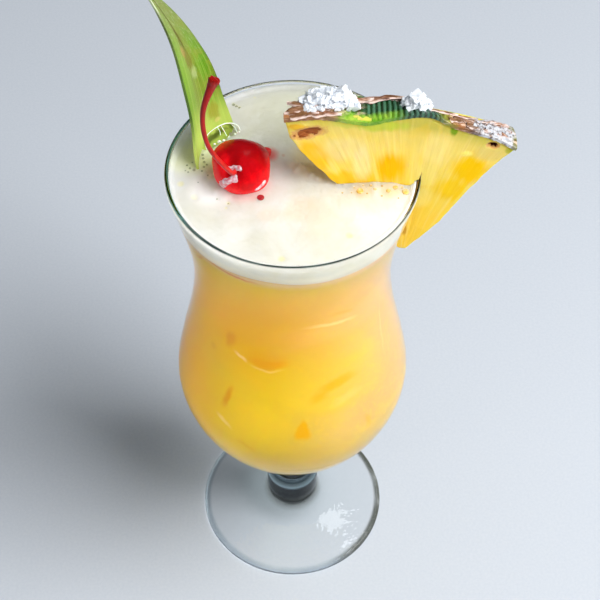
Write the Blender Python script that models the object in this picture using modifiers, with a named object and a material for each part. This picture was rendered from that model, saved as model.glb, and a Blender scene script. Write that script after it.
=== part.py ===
# Tropical cocktail in a short-stemmed hurricane glass, with its garnish.
# Metres, +Z up. The origin is the centre of the foot's underside, and the drinker looks along +Y.

import math
import random

import bmesh
import bpy
from mathutils import Matrix, Vector

MM = 0.001
GAP = 0.3 * MM
TURN_STEPS = 40

# Glass: outer radius by height, rim to neck, then the knop and the foot.
GLASS_HEIGHT = 200 * MM
RIM_RADIUS = 39.9 * MM
BULGE_RADIUS = 41.4 * MM
BULGE_HEIGHT = 99 * MM
WAIST_RADIUS = 32.9 * MM
WAIST_HEIGHT = 155 * MM
NECK_RADIUS = 7.2 * MM
NECK_HEIGHT = 31 * MM
KNOP_RADIUS = 10.1 * MM
KNOP_TOP = 24.3 * MM
FOOT_RADIUS = 36.3 * MM
FOOT_EDGE = 2.2 * MM
WALL = 1.9 * MM
BASE_INSIDE = 47.5 * MM
BASE_BLEND = 66 * MM
OUTSIDE_SPAN_POINTS = 2
INSIDE_SPAN_POINTS = 1

# Contents.
DRINK_LEVEL = 188.6 * MM
FOAM_LEVEL = 197.6 * MM
FOAM_CROWN = 0.7 * MM

# Cherry and its stem. The dimple faces the drinker's left.
CHERRY_RADIUS = 9 * MM
CHERRY_CENTRE = Vector((-15.7, -2.1, 203.0)) * MM
DIMPLE_DIRECTION = Vector((-0.25, -0.81, 0.53)).normalized()
DIMPLE_RADIUS = 4.4 * MM
DIMPLE_DEPTH = 1.7 * MM
STEM_RADIUS = 0.8 * MM
STEM_BASE_FLARE = 0.35
STEM_TIP_FLARE = 1.5
STEM_POINTS = 17
STEM_BENDS = [Vector((-24.8, -10.2, 220.5)) * MM, Vector((-25.9, -8.6, 232.5)) * MM]
STEM_TIP = Vector((-22.2, -5.8, 243.2)) * MM

# Pineapple leaf: both margins and the channel between them, as cubic curves from base to tip.
LEAF_LEFT = [(-25.7, -4.6, 176), (-32.4, 1.4, 202), (-27.8, 11.0, 234.2), (-47.4, 34.4, 245)]
LEAF_CHANNEL = [(-24.3, 12.0, 176), (-31.4, 12.6, 202.6), (-24.1, 15.7, 232.8), (-47.5, 34.5, 245)]
LEAF_RIGHT = [(-13.0, 20.3, 176), (-24.7, 19.9, 206.7), (-17.9, 23.3, 227.4), (-47.6, 34.6, 245)]
LEAF_LENGTH = 82 * MM
LEAF_THICKNESS = 0.8 * MM
LEAF_ROWS = 24
LEAF_COLUMNS = 6
LEAF_WAVE = 0.35 * MM
LEAF_TIP_SHARE = 0.985

# Pineapple wedge: a slice stood on edge across the drink, slit to straddle the wall.
WEDGE_FRONT = -5.0 * MM
WEDGE_BACK = 4.5 * MM
WEDGE_APEX = Vector((35.6, 166.0)) * MM
WEDGE_LEFT = Vector((-2.6, 226.6)) * MM
WEDGE_HEEL = Vector((-1.0, 218.4)) * MM
WEDGE_RIGHT = Vector((67.2, 214.6)) * MM
WEDGE_CROWN = 4.2 * MM
RIGHT_EDGE_WAVE = 0.9 * MM
RIGHT_EDGE_BULGE = 0.4 * MM
LEFT_EDGE_WAVE = 0.5 * MM
APEX_BLUNT = 0.03
SLIT_TOP = 203.9 * MM
SLIT_BOTTOM = 160 * MM
CORNER_PLACE = Vector((1.4, 0.6)) * MM
CORNER_ANGLE = 45
CORNER_BLOCK = 60 * MM

# Rind: its swells as (place along it, rise at the front, rise at the back), in millimetres.
RIND_DEPTH = 4.0 * MM
RIND_END_TAPER = 0.8
RIND_SWELLS = [
    (0.0, 0.6, 0.2),
    (11.0, 1.2, 1.2),
    (24.0, -0.6, 0.2),
    (31.5, 2.2, 1.0),
    (41.5, 5.6, -1.6),
    (49.0, 3.4, -1.4),
    (57.0, 2.4, -2.0),
    (64.0, 1.9, -0.2),
    (71.0, 0.4, -0.6),
]
EYE_DOME = 0.8 * MM
RIND_OVERHANG = 0.2 * MM

# Bracts: dried scales on the rind, as (place along the rind, depth from the front,
# length, width, heading, lift), in millimetres and degrees. Heading 0 points to the right.
BRACTS = [
    (3.6, 2.0, 8.0, 5.2, 165, 8),
    (9.5, 1.6, 11.0, 4.6, 8, 6),
    (7.0, 6.8, 9.0, 5.4, 160, 10),
    (17.0, 5.6, 9.0, 5.0, 14, 8),
    (25.5, 8.0, 12.0, 4.4, 6, 14),
    (33.5, 8.2, 9.0, 4.4, -4, 8),
    (46.0, 3.0, 10.0, 4.6, -4, 6),
    (52.5, 5.6, 11.0, 5.0, -8, 8),
    (58.0, 2.4, 11.0, 4.6, -6, 8),
    (66.0, 5.0, 8.0, 5.0, -14, 6),
]
BRACT_THICKNESS = 1.5 * MM
BRACT_LIFT = 0.6 * MM

# Coconut: heaps of flakes, as (place along the rind, depth from the front, half length,
# half depth, height, number of flakes), in millimetres.
COCONUT_HEAPS = [
    (12.8, 5.4, 7.4, 3.0, 6.4, 20),
    (38.6, 5.6, 4.2, 2.2, 7.0, 10),
    (7.5, 1.2, 3.0, 0.8, 0.8, 3),
    (63.0, 3.2, 5.0, 1.6, 0.8, 6),
]
FLAKE_SIZE = Vector((4.4, 2.5, 1.1)) * MM
FLAKE_JITTER = 0.22
COCONUT_SEED = 5


def clear_scene():
    for item in list(bpy.data.objects):
        bpy.data.objects.remove(item, do_unlink=True)


def add_collection(name):
    made = bpy.data.collections.new(name)
    bpy.context.scene.collection.children.link(made)
    return made


def add_material(name, colour, roughness, transmission=0.0):
    made = bpy.data.materials.new(name)
    made.use_nodes = True
    shader = made.node_tree.nodes["Principled BSDF"]
    shader.inputs["Base Color"].default_value = (*colour, 1.0)
    shader.inputs["Roughness"].default_value = roughness
    shader.inputs["Metallic"].default_value = 0.0
    shader.inputs["Transmission Weight"].default_value = transmission
    return made


def add_object(name, data, collection, material=None):
    made = bpy.data.objects.new(name, data)
    collection.objects.link(made)
    if material:
        made.data.materials.append(material)
    return made


def mesh_of(shape):
    mesh = bpy.data.meshes.new("mesh")
    shape.to_mesh(mesh)
    shape.free()
    return mesh


def hide_cutter(cutter):
    cutter.hide_render = True
    cutter.display_type = "WIRE"


def shade_round(item, degrees=40):
    item.data.shade_smooth()
    item.data.set_sharp_from_angle(angle=math.radians(degrees))


def cubic(points, share):
    # A point on the cubic curve with these four control points.
    rest = 1 - share
    weights = (rest**3, 3 * rest**2 * share, 3 * rest * share**2, share**3)
    return sum((Vector(point) * weight for point, weight in zip(points, weights)), Vector((0, 0, 0)))


def spline(stations, per_span):
    # A smooth line through the stations, with this many points to each span.
    padded = [stations[0], *stations, stations[-1]]
    line = []
    for index in range(1, len(padded) - 2):
        before, start, end, after = padded[index - 1 : index + 3]
        for step in range(per_span):
            share = step / per_span
            line.append(
                0.5
                * (
                    2 * start
                    + (end - before) * share
                    + (2 * before - 5 * start + 4 * end - after) * share**2
                    + (3 * start - before - 3 * end + after) * share**3
                )
            )
    line.append(stations[-1].copy())
    return line


def arc(centre, radius, start, end, points):
    line = []
    for index in range(points):
        angle = math.radians(start + (end - start) * index / (points - 1))
        line.append(centre + Vector((math.cos(angle), math.sin(angle))) * radius)
    return line


def bowl_line(per_span=OUTSIDE_SPAN_POINTS):
    # The outside of the bowl from under the rim down to the neck, as (radius, height).
    stations = [
        (RIM_RADIUS, GLASS_HEIGHT - WALL / 2),
        (37.9 * MM, 190 * MM),
        (35.4 * MM, 178 * MM),
        (33.6 * MM, 167 * MM),
        (WAIST_RADIUS, WAIST_HEIGHT),
        (33.7 * MM, 143 * MM),
        (35.9 * MM, 129 * MM),
        (39.0 * MM, 114.5 * MM),
        (BULGE_RADIUS, BULGE_HEIGHT),
        (39.2 * MM, 85.5 * MM),
        (33.6 * MM, 73 * MM),
        (25.6 * MM, 61.5 * MM),
        (17.0 * MM, 52 * MM),
        (10.6 * MM, 44.5 * MM),
        (7.9 * MM, 38 * MM),
        (NECK_RADIUS, NECK_HEIGHT),
    ]
    return spline([Vector(station) for station in stations], per_span)


def outer_radius(height):
    line = bowl_line()
    for upper, lower in zip(line, line[1:]):
        if lower.y <= height <= upper.y:
            share = (height - lower.y) / (upper.y - lower.y)
            return lower.x + (upper.x - lower.x) * share
    return RIM_RADIUS


def inner_radius(height):
    # The wall's inside: a constant wall down to the blend, then a bowl-shaped bottom.
    if height >= BASE_BLEND:
        return outer_radius(height) - WALL
    blend_radius = outer_radius(BASE_BLEND) - WALL
    return blend_radius * math.sqrt(max(height - BASE_INSIDE, 0) / (BASE_BLEND - BASE_INSIDE))


def inside_heights(top):
    # Heights along the wall's inside, closer together in the rounded bottom.
    bottom = [BASE_INSIDE + (BASE_BLEND - BASE_INSIDE) * (step / 4) ** 2 for step in range(1, 5)]
    stations = reversed(bowl_line(INSIDE_SPAN_POINTS))
    wall = [point.y for point in stations if BASE_BLEND + GAP < point.y < top - GAP]
    return bottom + wall


def knop_and_foot_line():
    shoulder = 1.6 * MM
    foot_top = [(9.5, 12.6), (10.3, 10.6), (12.6, 8.2), (17.0, 5.6), (25.0, 3.6)]
    line = [Vector((NECK_RADIUS + 0.1 * MM, KNOP_TOP + 2.2 * MM)), Vector((NECK_RADIUS + 0.9 * MM, KNOP_TOP))]
    line += arc(Vector((KNOP_RADIUS - shoulder, KNOP_TOP - shoulder)), shoulder, 80, 0, 4)
    line += [Vector((KNOP_RADIUS, 15.6 * MM))]
    line += [Vector(point) * MM for point in foot_top]
    line += arc(Vector((FOOT_RADIUS - FOOT_EDGE / 2, FOOT_EDGE / 2)), FOOT_EDGE / 2, 90, -90, 5)
    return line


def glass_line():
    # From the inside of the bottom up the inner wall, over the rim and down the outside.
    rim_bead = arc(Vector((RIM_RADIUS - WALL / 2, GLASS_HEIGHT - WALL / 2)), WALL / 2, 180, 0, 6)
    inside = [Vector((inner_radius(height), height)) for height in inside_heights(GLASS_HEIGHT - WALL)]
    outside = bowl_line()[1:]
    centre_top = Vector((0, BASE_INSIDE))
    centre_bottom = Vector((0, 0))
    return [centre_top, *inside, *rim_bead, *outside, *knop_and_foot_line(), centre_bottom]


def drink_line():
    heights = inside_heights(DRINK_LEVEL)
    side = [Vector((inner_radius(height) - GAP, height)) for height in reversed(heights)]
    level = [Vector((0, DRINK_LEVEL)), Vector((inner_radius(DRINK_LEVEL) - GAP, DRINK_LEVEL))]
    return [*level, *side, Vector((0, BASE_INSIDE + GAP))]


def foam_line():
    bottom = DRINK_LEVEL + GAP
    reach = inner_radius(FOAM_LEVEL) - GAP
    crown = []
    for share in (0, 0.25, 0.5, 0.7, 0.85, 0.95, 1):
        lift = FOAM_CROWN * math.cos(share * math.pi / 2) if share < 1 else -0.5 * MM
        crown.append(Vector((reach * share, FOAM_LEVEL + lift)))
    middle = (FOAM_LEVEL + bottom) / 2
    side = [Vector((inner_radius(middle) - GAP, middle)), Vector((inner_radius(bottom) - GAP, bottom))]
    return [*crown, *side, Vector((0, bottom))]


def slit_line():
    # The wall with its clearance, running out above the rim to where the knife stopped.
    heights = [SLIT_BOTTOM + (GLASS_HEIGHT - SLIT_BOTTOM) * step / 8 for step in range(9)]
    outside = [Vector((outer_radius(height) + GAP, height)) for height in reversed(heights)]
    inside = [Vector((outer_radius(height) - WALL - GAP, height)) for height in heights]
    top = Vector((RIM_RADIUS - WALL / 2, SLIT_TOP))
    return [top, *outside, *inside, top]


def turned(name, line, collection, material=None):
    mesh = bpy.data.meshes.new(name)
    points = [(point.x, 0, point.y) for point in line]
    mesh.from_pydata(points, [(index, index + 1) for index in range(len(points) - 1)], [])
    made = add_object(name, mesh, collection, material)
    screw = made.modifiers.new("Turn", "SCREW")
    screw.axis = "Z"
    screw.angle = math.tau
    screw.steps = TURN_STEPS
    screw.render_steps = TURN_STEPS
    screw.use_merge_vertices = True
    screw.merge_threshold = 1e-5
    screw.use_smooth_shade = True
    return made


def cut(target, cutter):
    hide_cutter(cutter)
    boolean = target.modifiers.new(f"Cut {cutter.name}", "BOOLEAN")
    boolean.operation = "DIFFERENCE"
    boolean.solver = "EXACT"
    boolean.object = cutter


def settle(item):
    # Turns an object's evaluated shape into its own plain mesh.
    graph = bpy.context.evaluated_depsgraph_get()
    mesh = bpy.data.meshes.new_from_object(item.evaluated_get(graph))
    materials = list(item.data.materials)
    old_data = item.data
    shape = bmesh.new()
    shape.from_mesh(mesh)
    bmesh.ops.remove_doubles(shape, verts=shape.verts, dist=1e-6)
    shape.to_mesh(mesh)
    shape.free()
    if item.type == "MESH":
        item.modifiers.clear()
        item.data = mesh
        made = item
    else:
        name, item.name = item.name, "outline"
        made = bpy.data.objects.new(name, mesh)
        item.users_collection[0].objects.link(made)
        made.matrix_world = item.matrix_world
        bpy.data.objects.remove(item, do_unlink=True)
        bpy.data.curves.remove(old_data)
    made.data.materials.clear()
    for material in materials:
        made.data.materials.append(material)
    return made


def keep_main_body(item):
    # Drops loose scraps and fills sealed hollows by keeping only the largest skin.
    shape = bmesh.new()
    shape.from_mesh(item.data)
    left = set(shape.verts)
    skins = []
    while left:
        found = {left.pop()}
        front = list(found)
        while front:
            vert = front.pop()
            for edge in vert.link_edges:
                other = edge.other_vert(vert)
                if other in left:
                    left.remove(other)
                    found.add(other)
                    front.append(other)
        skins.append(found)
    main = max(skins, key=len)
    bmesh.ops.delete(shape, geom=[vert for vert in shape.verts if vert not in main], context="VERTS")
    shape.to_mesh(item.data)
    shape.free()


def block(cuts):
    # A box from -1 to 1, cut this many times along each axis.
    shape = bmesh.new()
    bmesh.ops.create_cube(shape, size=2)
    for axis, count in enumerate(cuts):
        along = [
            edge
            for edge in shape.edges
            if abs(edge.verts[0].co[axis] - edge.verts[1].co[axis]) > 1
        ]
        bmesh.ops.subdivide_edges(shape, edges=along, cuts=count, use_grid_fill=True)
    return shape


def rind_point(share):
    # A point on the slice's curved back, from its left end to its right end.
    chord = WEDGE_RIGHT - WEDGE_LEFT
    outwards = Vector((-chord.y, chord.x)).normalized()
    return WEDGE_LEFT + chord * share + outwards * WEDGE_CROWN * 4 * share * (1 - share)


def rind_frame(along):
    # Place, direction along and direction out of the rind at a distance from its left end.
    share = along / (WEDGE_RIGHT - WEDGE_LEFT).length
    tangent = (rind_point(share + 0.01) - rind_point(share - 0.01)).normalized()
    return rind_point(share), tangent, Vector((-tangent.y, tangent.x))


def wedge_outline(grow):
    # The slice's outline: its curved back, a right edge, a blunt point and a left edge.
    points = [rind_point(step / 16) for step in range(17)]
    right_run = WEDGE_APEX - WEDGE_RIGHT
    right_out = Vector((-right_run.y, right_run.x)).normalized()
    for step in range(1, 9):
        share = step / 8 * (1 - APEX_BLUNT)
        wave = math.sin(share * math.pi) * RIGHT_EDGE_BULGE - math.sin(share * math.tau) * RIGHT_EDGE_WAVE
        points.append(WEDGE_RIGHT + right_run * share + right_out * wave)
    left_run = WEDGE_HEEL - WEDGE_APEX
    left_out = Vector((-left_run.y, left_run.x)).normalized()
    for step in range(8):
        share = APEX_BLUNT + step / 7 * (1 - APEX_BLUNT)
        wave = math.sin(share * 3 * math.pi) * LEFT_EDGE_WAVE
        points.append(WEDGE_APEX + left_run * share + left_out * wave)
    middle = sum(points, Vector((0, 0))) / len(points)
    return [point + (point - middle).normalized() * grow for point in points]


def flat_slab(name, outline, front, back, collection, material=None):
    # A flat outline in the XZ plane, as a filled curve with half the depth each way.
    curve = bpy.data.curves.new(name, "CURVE")
    curve.dimensions = "2D"
    curve.fill_mode = "BOTH"
    curve.extrude = (back - front) / 2
    line = curve.splines.new("POLY")
    line.points.add(len(outline) - 1)
    for point, place in zip(line.points, outline):
        point.co = (place.x, place.y, 0, 1)
    line.use_cyclic_u = True
    made = add_object(name, curve, collection, material)
    made.matrix_world = Matrix.Translation((0, (front + back) / 2, 0)) @ Matrix.Rotation(math.pi / 2, 4, "X")
    bpy.context.view_layer.update()
    return settle(made)


def rind_rise(along, depth_share):
    # How far the rind stands out at a place along it. depth_share is -1 at the front, 1 at the back.
    swells = spline([Vector(swell) * MM for swell in RIND_SWELLS], 4)
    along = min(max(along, swells[0].x), swells[-1].x)
    before, after = next(pair for pair in zip(swells, swells[1:]) if along <= pair[1].x)
    rises = before.lerp(after, (along - before.x) / (after.x - before.x))
    share = (depth_share + 1) / 2
    dome = EYE_DOME * (1 - depth_share * depth_share)
    return rises.y * (1 - share) + rises.z * share + dome


def add_rind(collection):
    shape = block((46, 4, 1))
    length = (WEDGE_RIGHT - WEDGE_LEFT).length
    middle = (WEDGE_FRONT + WEDGE_BACK) / 2
    half_depth = (WEDGE_BACK - WEDGE_FRONT) / 2 + RIND_OVERHANG
    for vert in shape.verts:
        across, depth_share, side = vert.co
        along = (across + 1) / 2 * length
        place, _, outwards = rind_frame(along)
        under = -RIND_DEPTH * (1 - RIND_END_TAPER * across**8)
        lift = rind_rise(along, depth_share) if side > 0 else under
        place = place + outwards * lift
        vert.co = (place.x, middle + depth_share * half_depth, place.y)
    bmesh.ops.recalc_face_normals(shape, faces=shape.faces)
    add_object("rind", mesh_of(shape), collection)


def on_rind(along_mm, depth_mm, lift):
    # A point above the rind's surface and the turn that lays a piece flat there.
    along = along_mm * MM
    place, tangent, outwards = rind_frame(along)
    depth_share = 2 * depth_mm * MM / (WEDGE_BACK - WEDGE_FRONT) - 1
    place = place + outwards * (rind_rise(along, depth_share) + lift)
    point = Vector((place.x, WEDGE_FRONT + depth_mm * MM, place.y))
    x_axis = Vector((tangent.x, 0, tangent.y))
    z_axis = Vector((outwards.x, 0, outwards.y))
    turn = Matrix((x_axis, z_axis.cross(x_axis), z_axis)).transposed().to_4x4()
    return point, turn


def add_bracts(collection):
    for number, (along, depth, length, width, heading, lift) in enumerate(BRACTS, 1):
        shape = bmesh.new()
        bmesh.ops.create_cone(
            shape, segments=8, radius1=width / 2 * MM, radius2=width / 9 * MM, depth=length * MM, cap_ends=True
        )
        flat = Matrix.Diagonal((BRACT_THICKNESS / (width * MM), 1, 1, 1))
        bmesh.ops.transform(shape, matrix=Matrix.Rotation(math.pi / 2, 4, "Y") @ flat, verts=shape.verts)
        point, turn = on_rind(along, depth, BRACT_LIFT)
        pose = (
            Matrix.Translation(point)
            @ turn
            @ Matrix.Rotation(math.radians(heading), 4, "Z")
            @ Matrix.Rotation(math.radians(-lift), 4, "Y")
        )
        bmesh.ops.transform(shape, matrix=pose, verts=shape.verts)
        add_object(f"bract_{number}", mesh_of(shape), collection)


def add_flakes(collection):
    draw = random.Random(COCONUT_SEED)
    for along, depth, half_length, half_depth, height, count in COCONUT_HEAPS:
        for number in range(count):
            # Spread evenly out from the heap's middle, highest in the middle.
            reach = math.sqrt((number + 0.5) / count)
            angle = number * math.radians(137.5)
            place = along + half_length * reach * math.cos(angle)
            side = depth + half_depth * reach * math.sin(angle)
            lift = height * (1 - reach) ** 0.8 * draw.uniform(0.75, 1.0) * MM
            point, turn = on_rind(place, side, lift + 0.2 * MM)
            shape = bmesh.new()
            bmesh.ops.create_cube(shape, size=1)
            for vert in shape.verts:
                vert.co += Vector([draw.uniform(-FLAKE_JITTER, FLAKE_JITTER) for _ in range(3)])
                vert.co = Vector([part * size for part, size in zip(vert.co, FLAKE_SIZE)])
            bmesh.ops.triangulate(shape, faces=shape.faces)
            pose = (
                Matrix.Translation(point)
                @ turn
                @ Matrix.Rotation(draw.uniform(0, math.tau), 4, "Z")
                @ Matrix.Rotation(draw.uniform(-1.1, 1.1), 4, "Y")
                @ Matrix.Rotation(draw.uniform(-0.6, 0.6), 4, "X")
                @ Matrix.Scale(draw.uniform(0.7, 1.1), 4)
            )
            bmesh.ops.transform(shape, matrix=pose, verts=shape.verts)
            add_object("flake", mesh_of(shape), collection)


def add_corner_cutter(cutters):
    # A block that slants off the slice's left end at the back. CORNER_PLACE, as (x, y), is on its face.
    shape = bmesh.new()
    bmesh.ops.create_cube(shape, size=CORNER_BLOCK)
    cutter = add_object("corner_cutter", mesh_of(shape), cutters)
    outwards = Vector((-1, 1, 0)).normalized() * CORNER_BLOCK / 2
    cutter.location = Vector((*CORNER_PLACE, WEDGE_LEFT.y)) + outwards
    cutter.rotation_euler.z = math.radians(CORNER_ANGLE)
    return cutter


def add_wedge(collection, cutters, material):
    outline = wedge_outline(-RIND_OVERHANG)
    wedge = flat_slab("pineapple_wedge", outline, WEDGE_FRONT, WEDGE_BACK, collection, material)
    toppings = add_collection("wedge_toppings")
    add_rind(toppings)
    add_bracts(toppings)
    add_flakes(toppings)
    union = wedge.modifiers.new("Fuse", "BOOLEAN")
    union.operation = "UNION"
    union.solver = "MANIFOLD"
    union.operand_type = "COLLECTION"
    union.collection = toppings
    bpy.context.view_layer.update()
    wedge = settle(wedge)
    for piece in list(toppings.objects):
        bpy.data.objects.remove(piece, do_unlink=True)
    bpy.data.collections.remove(toppings)
    keep_main_body(wedge)
    cut(wedge, add_corner_cutter(cutters))
    cut(wedge, turned("slit_cutter", slit_line(), cutters))


def leaf_surface(grow):
    # The leaf's sheet: rows from base to tip across a channelled section, gently waved.
    shape = bmesh.new()
    bmesh.ops.create_grid(shape, x_segments=LEAF_COLUMNS, y_segments=LEAF_ROWS, size=1)
    for vert in shape.verts:
        across, up = vert.co.x, (vert.co.y + 1) / 2 * LEAF_TIP_SHARE
        up -= (1 - up) * 2 * grow / LEAF_LENGTH
        left, channel, right = (cubic(line, up) * MM for line in (LEAF_LEFT, LEAF_CHANNEL, LEAF_RIGHT))
        across *= 1 + grow / ((right - left).length / 2)
        place = left * (across * (across - 1) / 2) + channel * (1 - across * across)
        place += right * (across * (across + 1) / 2)
        place.x += math.sin(up * 21 + across * 2) * LEAF_WAVE * across * across * (1 - up)
        vert.co = place
    bmesh.ops.triangulate(shape, faces=shape.faces)
    bmesh.ops.recalc_face_normals(shape, faces=shape.faces)
    return shape


def add_leaf(name, collection, thickness, grow=0.0, material=None):
    leaf = add_object(name, mesh_of(leaf_surface(grow)), collection, material)
    solid = leaf.modifiers.new("Thickness", "SOLIDIFY")
    solid.thickness = thickness
    solid.offset = 0
    solid.use_even_offset = False
    leaf.data.shade_smooth()
    return leaf


def cherry_surface(direction):
    # How far the cherry's skin lies from its centre in a direction: a ball with a dimple.
    off_axis = direction.angle(DIMPLE_DIRECTION) * CHERRY_RADIUS
    dimple = math.exp(-((off_axis / DIMPLE_RADIUS) ** 2) * 2)
    squash = 1 - 0.03 * abs(direction.dot(DIMPLE_DIRECTION))
    return CHERRY_RADIUS * squash - DIMPLE_DEPTH * dimple


def add_cherry(collection, material):
    shape = bmesh.new()
    bmesh.ops.create_uvsphere(shape, u_segments=24, v_segments=14, radius=1)
    turn = Vector((0, 0, 1)).rotation_difference(DIMPLE_DIRECTION).to_matrix().to_4x4()
    bmesh.ops.transform(shape, matrix=turn, verts=shape.verts)
    for vert in shape.verts:
        direction = vert.co.normalized()
        vert.co = CHERRY_CENTRE + direction * cherry_surface(direction)
    cherry = add_object("cherry", mesh_of(shape), collection, material)
    shade_round(cherry, 80)
    return cherry


def add_stem(collection, material):
    start = CHERRY_CENTRE + DIMPLE_DIRECTION * (cherry_surface(DIMPLE_DIRECTION) + GAP * 1.5)
    first = start + DIMPLE_DIRECTION * 4.5 * MM
    route = [start, first, *STEM_BENDS, STEM_TIP]
    line = spline(route, (STEM_POINTS - 1) // (len(route) - 1))
    curve = bpy.data.curves.new("cherry_stem", "CURVE")
    curve.dimensions = "3D"
    curve.bevel_depth = STEM_RADIUS
    curve.bevel_resolution = 2
    curve.use_fill_caps = True
    thread = curve.splines.new("POLY")
    thread.points.add(len(line) - 1)
    for index, (point, place) in enumerate(zip(thread.points, line)):
        share = index / (len(line) - 1)
        point.co = (*place, 1)
        point.radius = 0.95 + STEM_BASE_FLARE * (1 - share) ** 4 + STEM_TIP_FLARE * share**7
    stem = add_object("cherry_stem", curve, collection, material)
    return stem


def add_ball_cutter(cutters):
    shape = bmesh.new()
    bmesh.ops.create_uvsphere(shape, u_segments=32, v_segments=20, radius=CHERRY_RADIUS + 2 * GAP)
    bmesh.ops.translate(shape, vec=CHERRY_CENTRE, verts=shape.verts)
    return add_object("cherry_cutter", mesh_of(shape), cutters)


def build():
    clear_scene()
    cocktail = add_collection("tropical_cocktail")
    cutters = add_collection("cutters")

    clear_glass = add_material("clear_glass", (0.93, 0.96, 0.95), 0.03, transmission=1.0)
    juice = add_material("juice", (0.85, 0.47, 0.07), 0.25)
    froth = add_material("froth", (0.96, 0.93, 0.82), 0.55)
    cherry_red = add_material("cherry_red", (0.72, 0.02, 0.03), 0.12)
    stem_red = add_material("stem_red", (0.38, 0.03, 0.02), 0.3)
    leaf_green = add_material("leaf_green", (0.22, 0.36, 0.06), 0.4)
    pineapple_yellow = add_material("pineapple_yellow", (0.95, 0.62, 0.11), 0.4)

    turned("glass", glass_line(), cocktail, clear_glass)
    drink = turned("drink", drink_line(), cocktail, juice)
    foam = turned("foam", foam_line(), cocktail, froth)
    add_cherry(cocktail, cherry_red)
    add_stem(cocktail, stem_red)
    add_leaf("pineapple_leaf", cocktail, LEAF_THICKNESS, material=leaf_green)
    add_wedge(cocktail, cutters, pineapple_yellow)

    wedge_room = flat_slab("wedge_cutter", wedge_outline(GAP), WEDGE_FRONT - GAP, WEDGE_BACK + GAP, cutters)
    leaf_room = add_leaf("leaf_cutter", cutters, LEAF_THICKNESS + 3 * GAP, grow=1.5 * GAP)
    cut(foam, add_ball_cutter(cutters))
    for filling in (foam, drink):
        cut(filling, wedge_room)
        cut(filling, leaf_room)


build()
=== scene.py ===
import math
import random
from contextlib import contextmanager

import bpy
from mathutils import Matrix, Vector, noise


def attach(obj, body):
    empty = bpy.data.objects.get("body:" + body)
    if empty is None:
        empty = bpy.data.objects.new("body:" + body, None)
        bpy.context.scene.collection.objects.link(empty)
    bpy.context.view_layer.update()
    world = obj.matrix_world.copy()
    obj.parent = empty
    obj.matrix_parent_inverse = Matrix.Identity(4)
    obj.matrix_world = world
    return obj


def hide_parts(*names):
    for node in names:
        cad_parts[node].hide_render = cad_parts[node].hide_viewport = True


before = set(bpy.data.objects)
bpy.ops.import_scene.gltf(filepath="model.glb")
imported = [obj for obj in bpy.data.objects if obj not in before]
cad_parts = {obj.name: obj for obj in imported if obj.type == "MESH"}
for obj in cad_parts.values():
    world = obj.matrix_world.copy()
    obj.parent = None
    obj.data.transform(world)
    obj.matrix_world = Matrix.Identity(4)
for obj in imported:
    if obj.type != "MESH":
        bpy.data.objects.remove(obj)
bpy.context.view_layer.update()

mm = 0.001
fullTurn = math.tau
seam = 0.01 * mm  # points closer than this are welded

print("frame loaded:", ", ".join(sorted(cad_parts)))


# Small tools used by every piece

def makeActive(piece):
    bpy.ops.object.select_all(action="DESELECT")
    piece.select_set(True)
    bpy.context.view_layer.objects.active = piece


def takeNew(name):
    # the object that an operator has just added, under its own name
    piece = bpy.context.active_object
    piece.name = name
    piece.data.name = name
    return piece


def addModifier(piece, kind, **settings):
    modifier = piece.modifiers.new(kind.title(), kind)
    for key, value in settings.items():
        setattr(modifier, key, value)
    return modifier


def applyModifiers(piece):
    makeActive(piece)
    for modifier in list(piece.modifiers):
        bpy.ops.object.modifier_apply(modifier=modifier.name)


def smoothRound(piece, degrees=60):
    makeActive(piece)
    bpy.ops.object.shade_smooth_by_angle(angle=math.radians(degrees))


def settlePlace(piece):
    # bakes the object's place and turn into its mesh
    makeActive(piece)
    bpy.ops.object.transform_apply(location=True, rotation=True, scale=True)


def handOver(piece, material, slotName, *nodes):
    settlePlace(piece)
    piece.data.materials.clear()
    piece.data.materials.append(material)
    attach(piece, "root")
    if nodes:
        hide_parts(*nodes)
    print("made", piece.name, len(piece.data.polygons), "faces")


def joinPieces(pieces, name):
    makeActive(pieces[0])
    for piece in pieces:
        piece.select_set(True)
    if len(pieces) > 1:
        bpy.ops.object.join()
    return takeNew(name)


def copyPiece(piece):
    made = piece.copy()
    made.data = piece.data.copy()
    bpy.context.collection.objects.link(made)
    return made


@contextmanager
def editing(piece, mode="VERT"):
    # edit mode, with the whole mesh selected
    makeActive(piece)
    bpy.ops.object.mode_set(mode="EDIT")
    bpy.ops.mesh.select_mode(type=mode)
    bpy.ops.mesh.select_all(action="SELECT")
    yield
    bpy.ops.object.mode_set(mode="OBJECT")


def faceOutward(piece, weld=0):
    with editing(piece):
        if weld:
            bpy.ops.mesh.remove_doubles(threshold=weld)
        bpy.ops.mesh.normals_make_consistent(inside=False)


def growRings(stations, extrude, unit=1):
    # extrudes what is selected ring by ring; stations are (radius, height)
    for (radius, height), (nextRadius, nextHeight) in zip(stations, stations[1:]):
        extrude(TRANSFORM_OT_translate={"value": (0, 0, (nextHeight - height) * unit)})
        share = nextRadius / radius
        bpy.ops.transform.resize(value=(share, share, 1), center_override=(0, 0, 0))


def turnedPiece(name, stations, sides):
    radius, height = stations[0]
    bpy.ops.mesh.primitive_circle_add(
        vertices=sides, radius=radius, fill_type="NGON", location=(0, 0, height)
    )
    piece = takeNew(name)
    settlePlace(piece)
    with editing(piece, "FACE"):
        growRings(stations, bpy.ops.mesh.extrude_region_move)
        bpy.ops.mesh.merge(type="CENTER")  # the last ring closes on the axis
    faceOutward(piece)
    return piece


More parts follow.
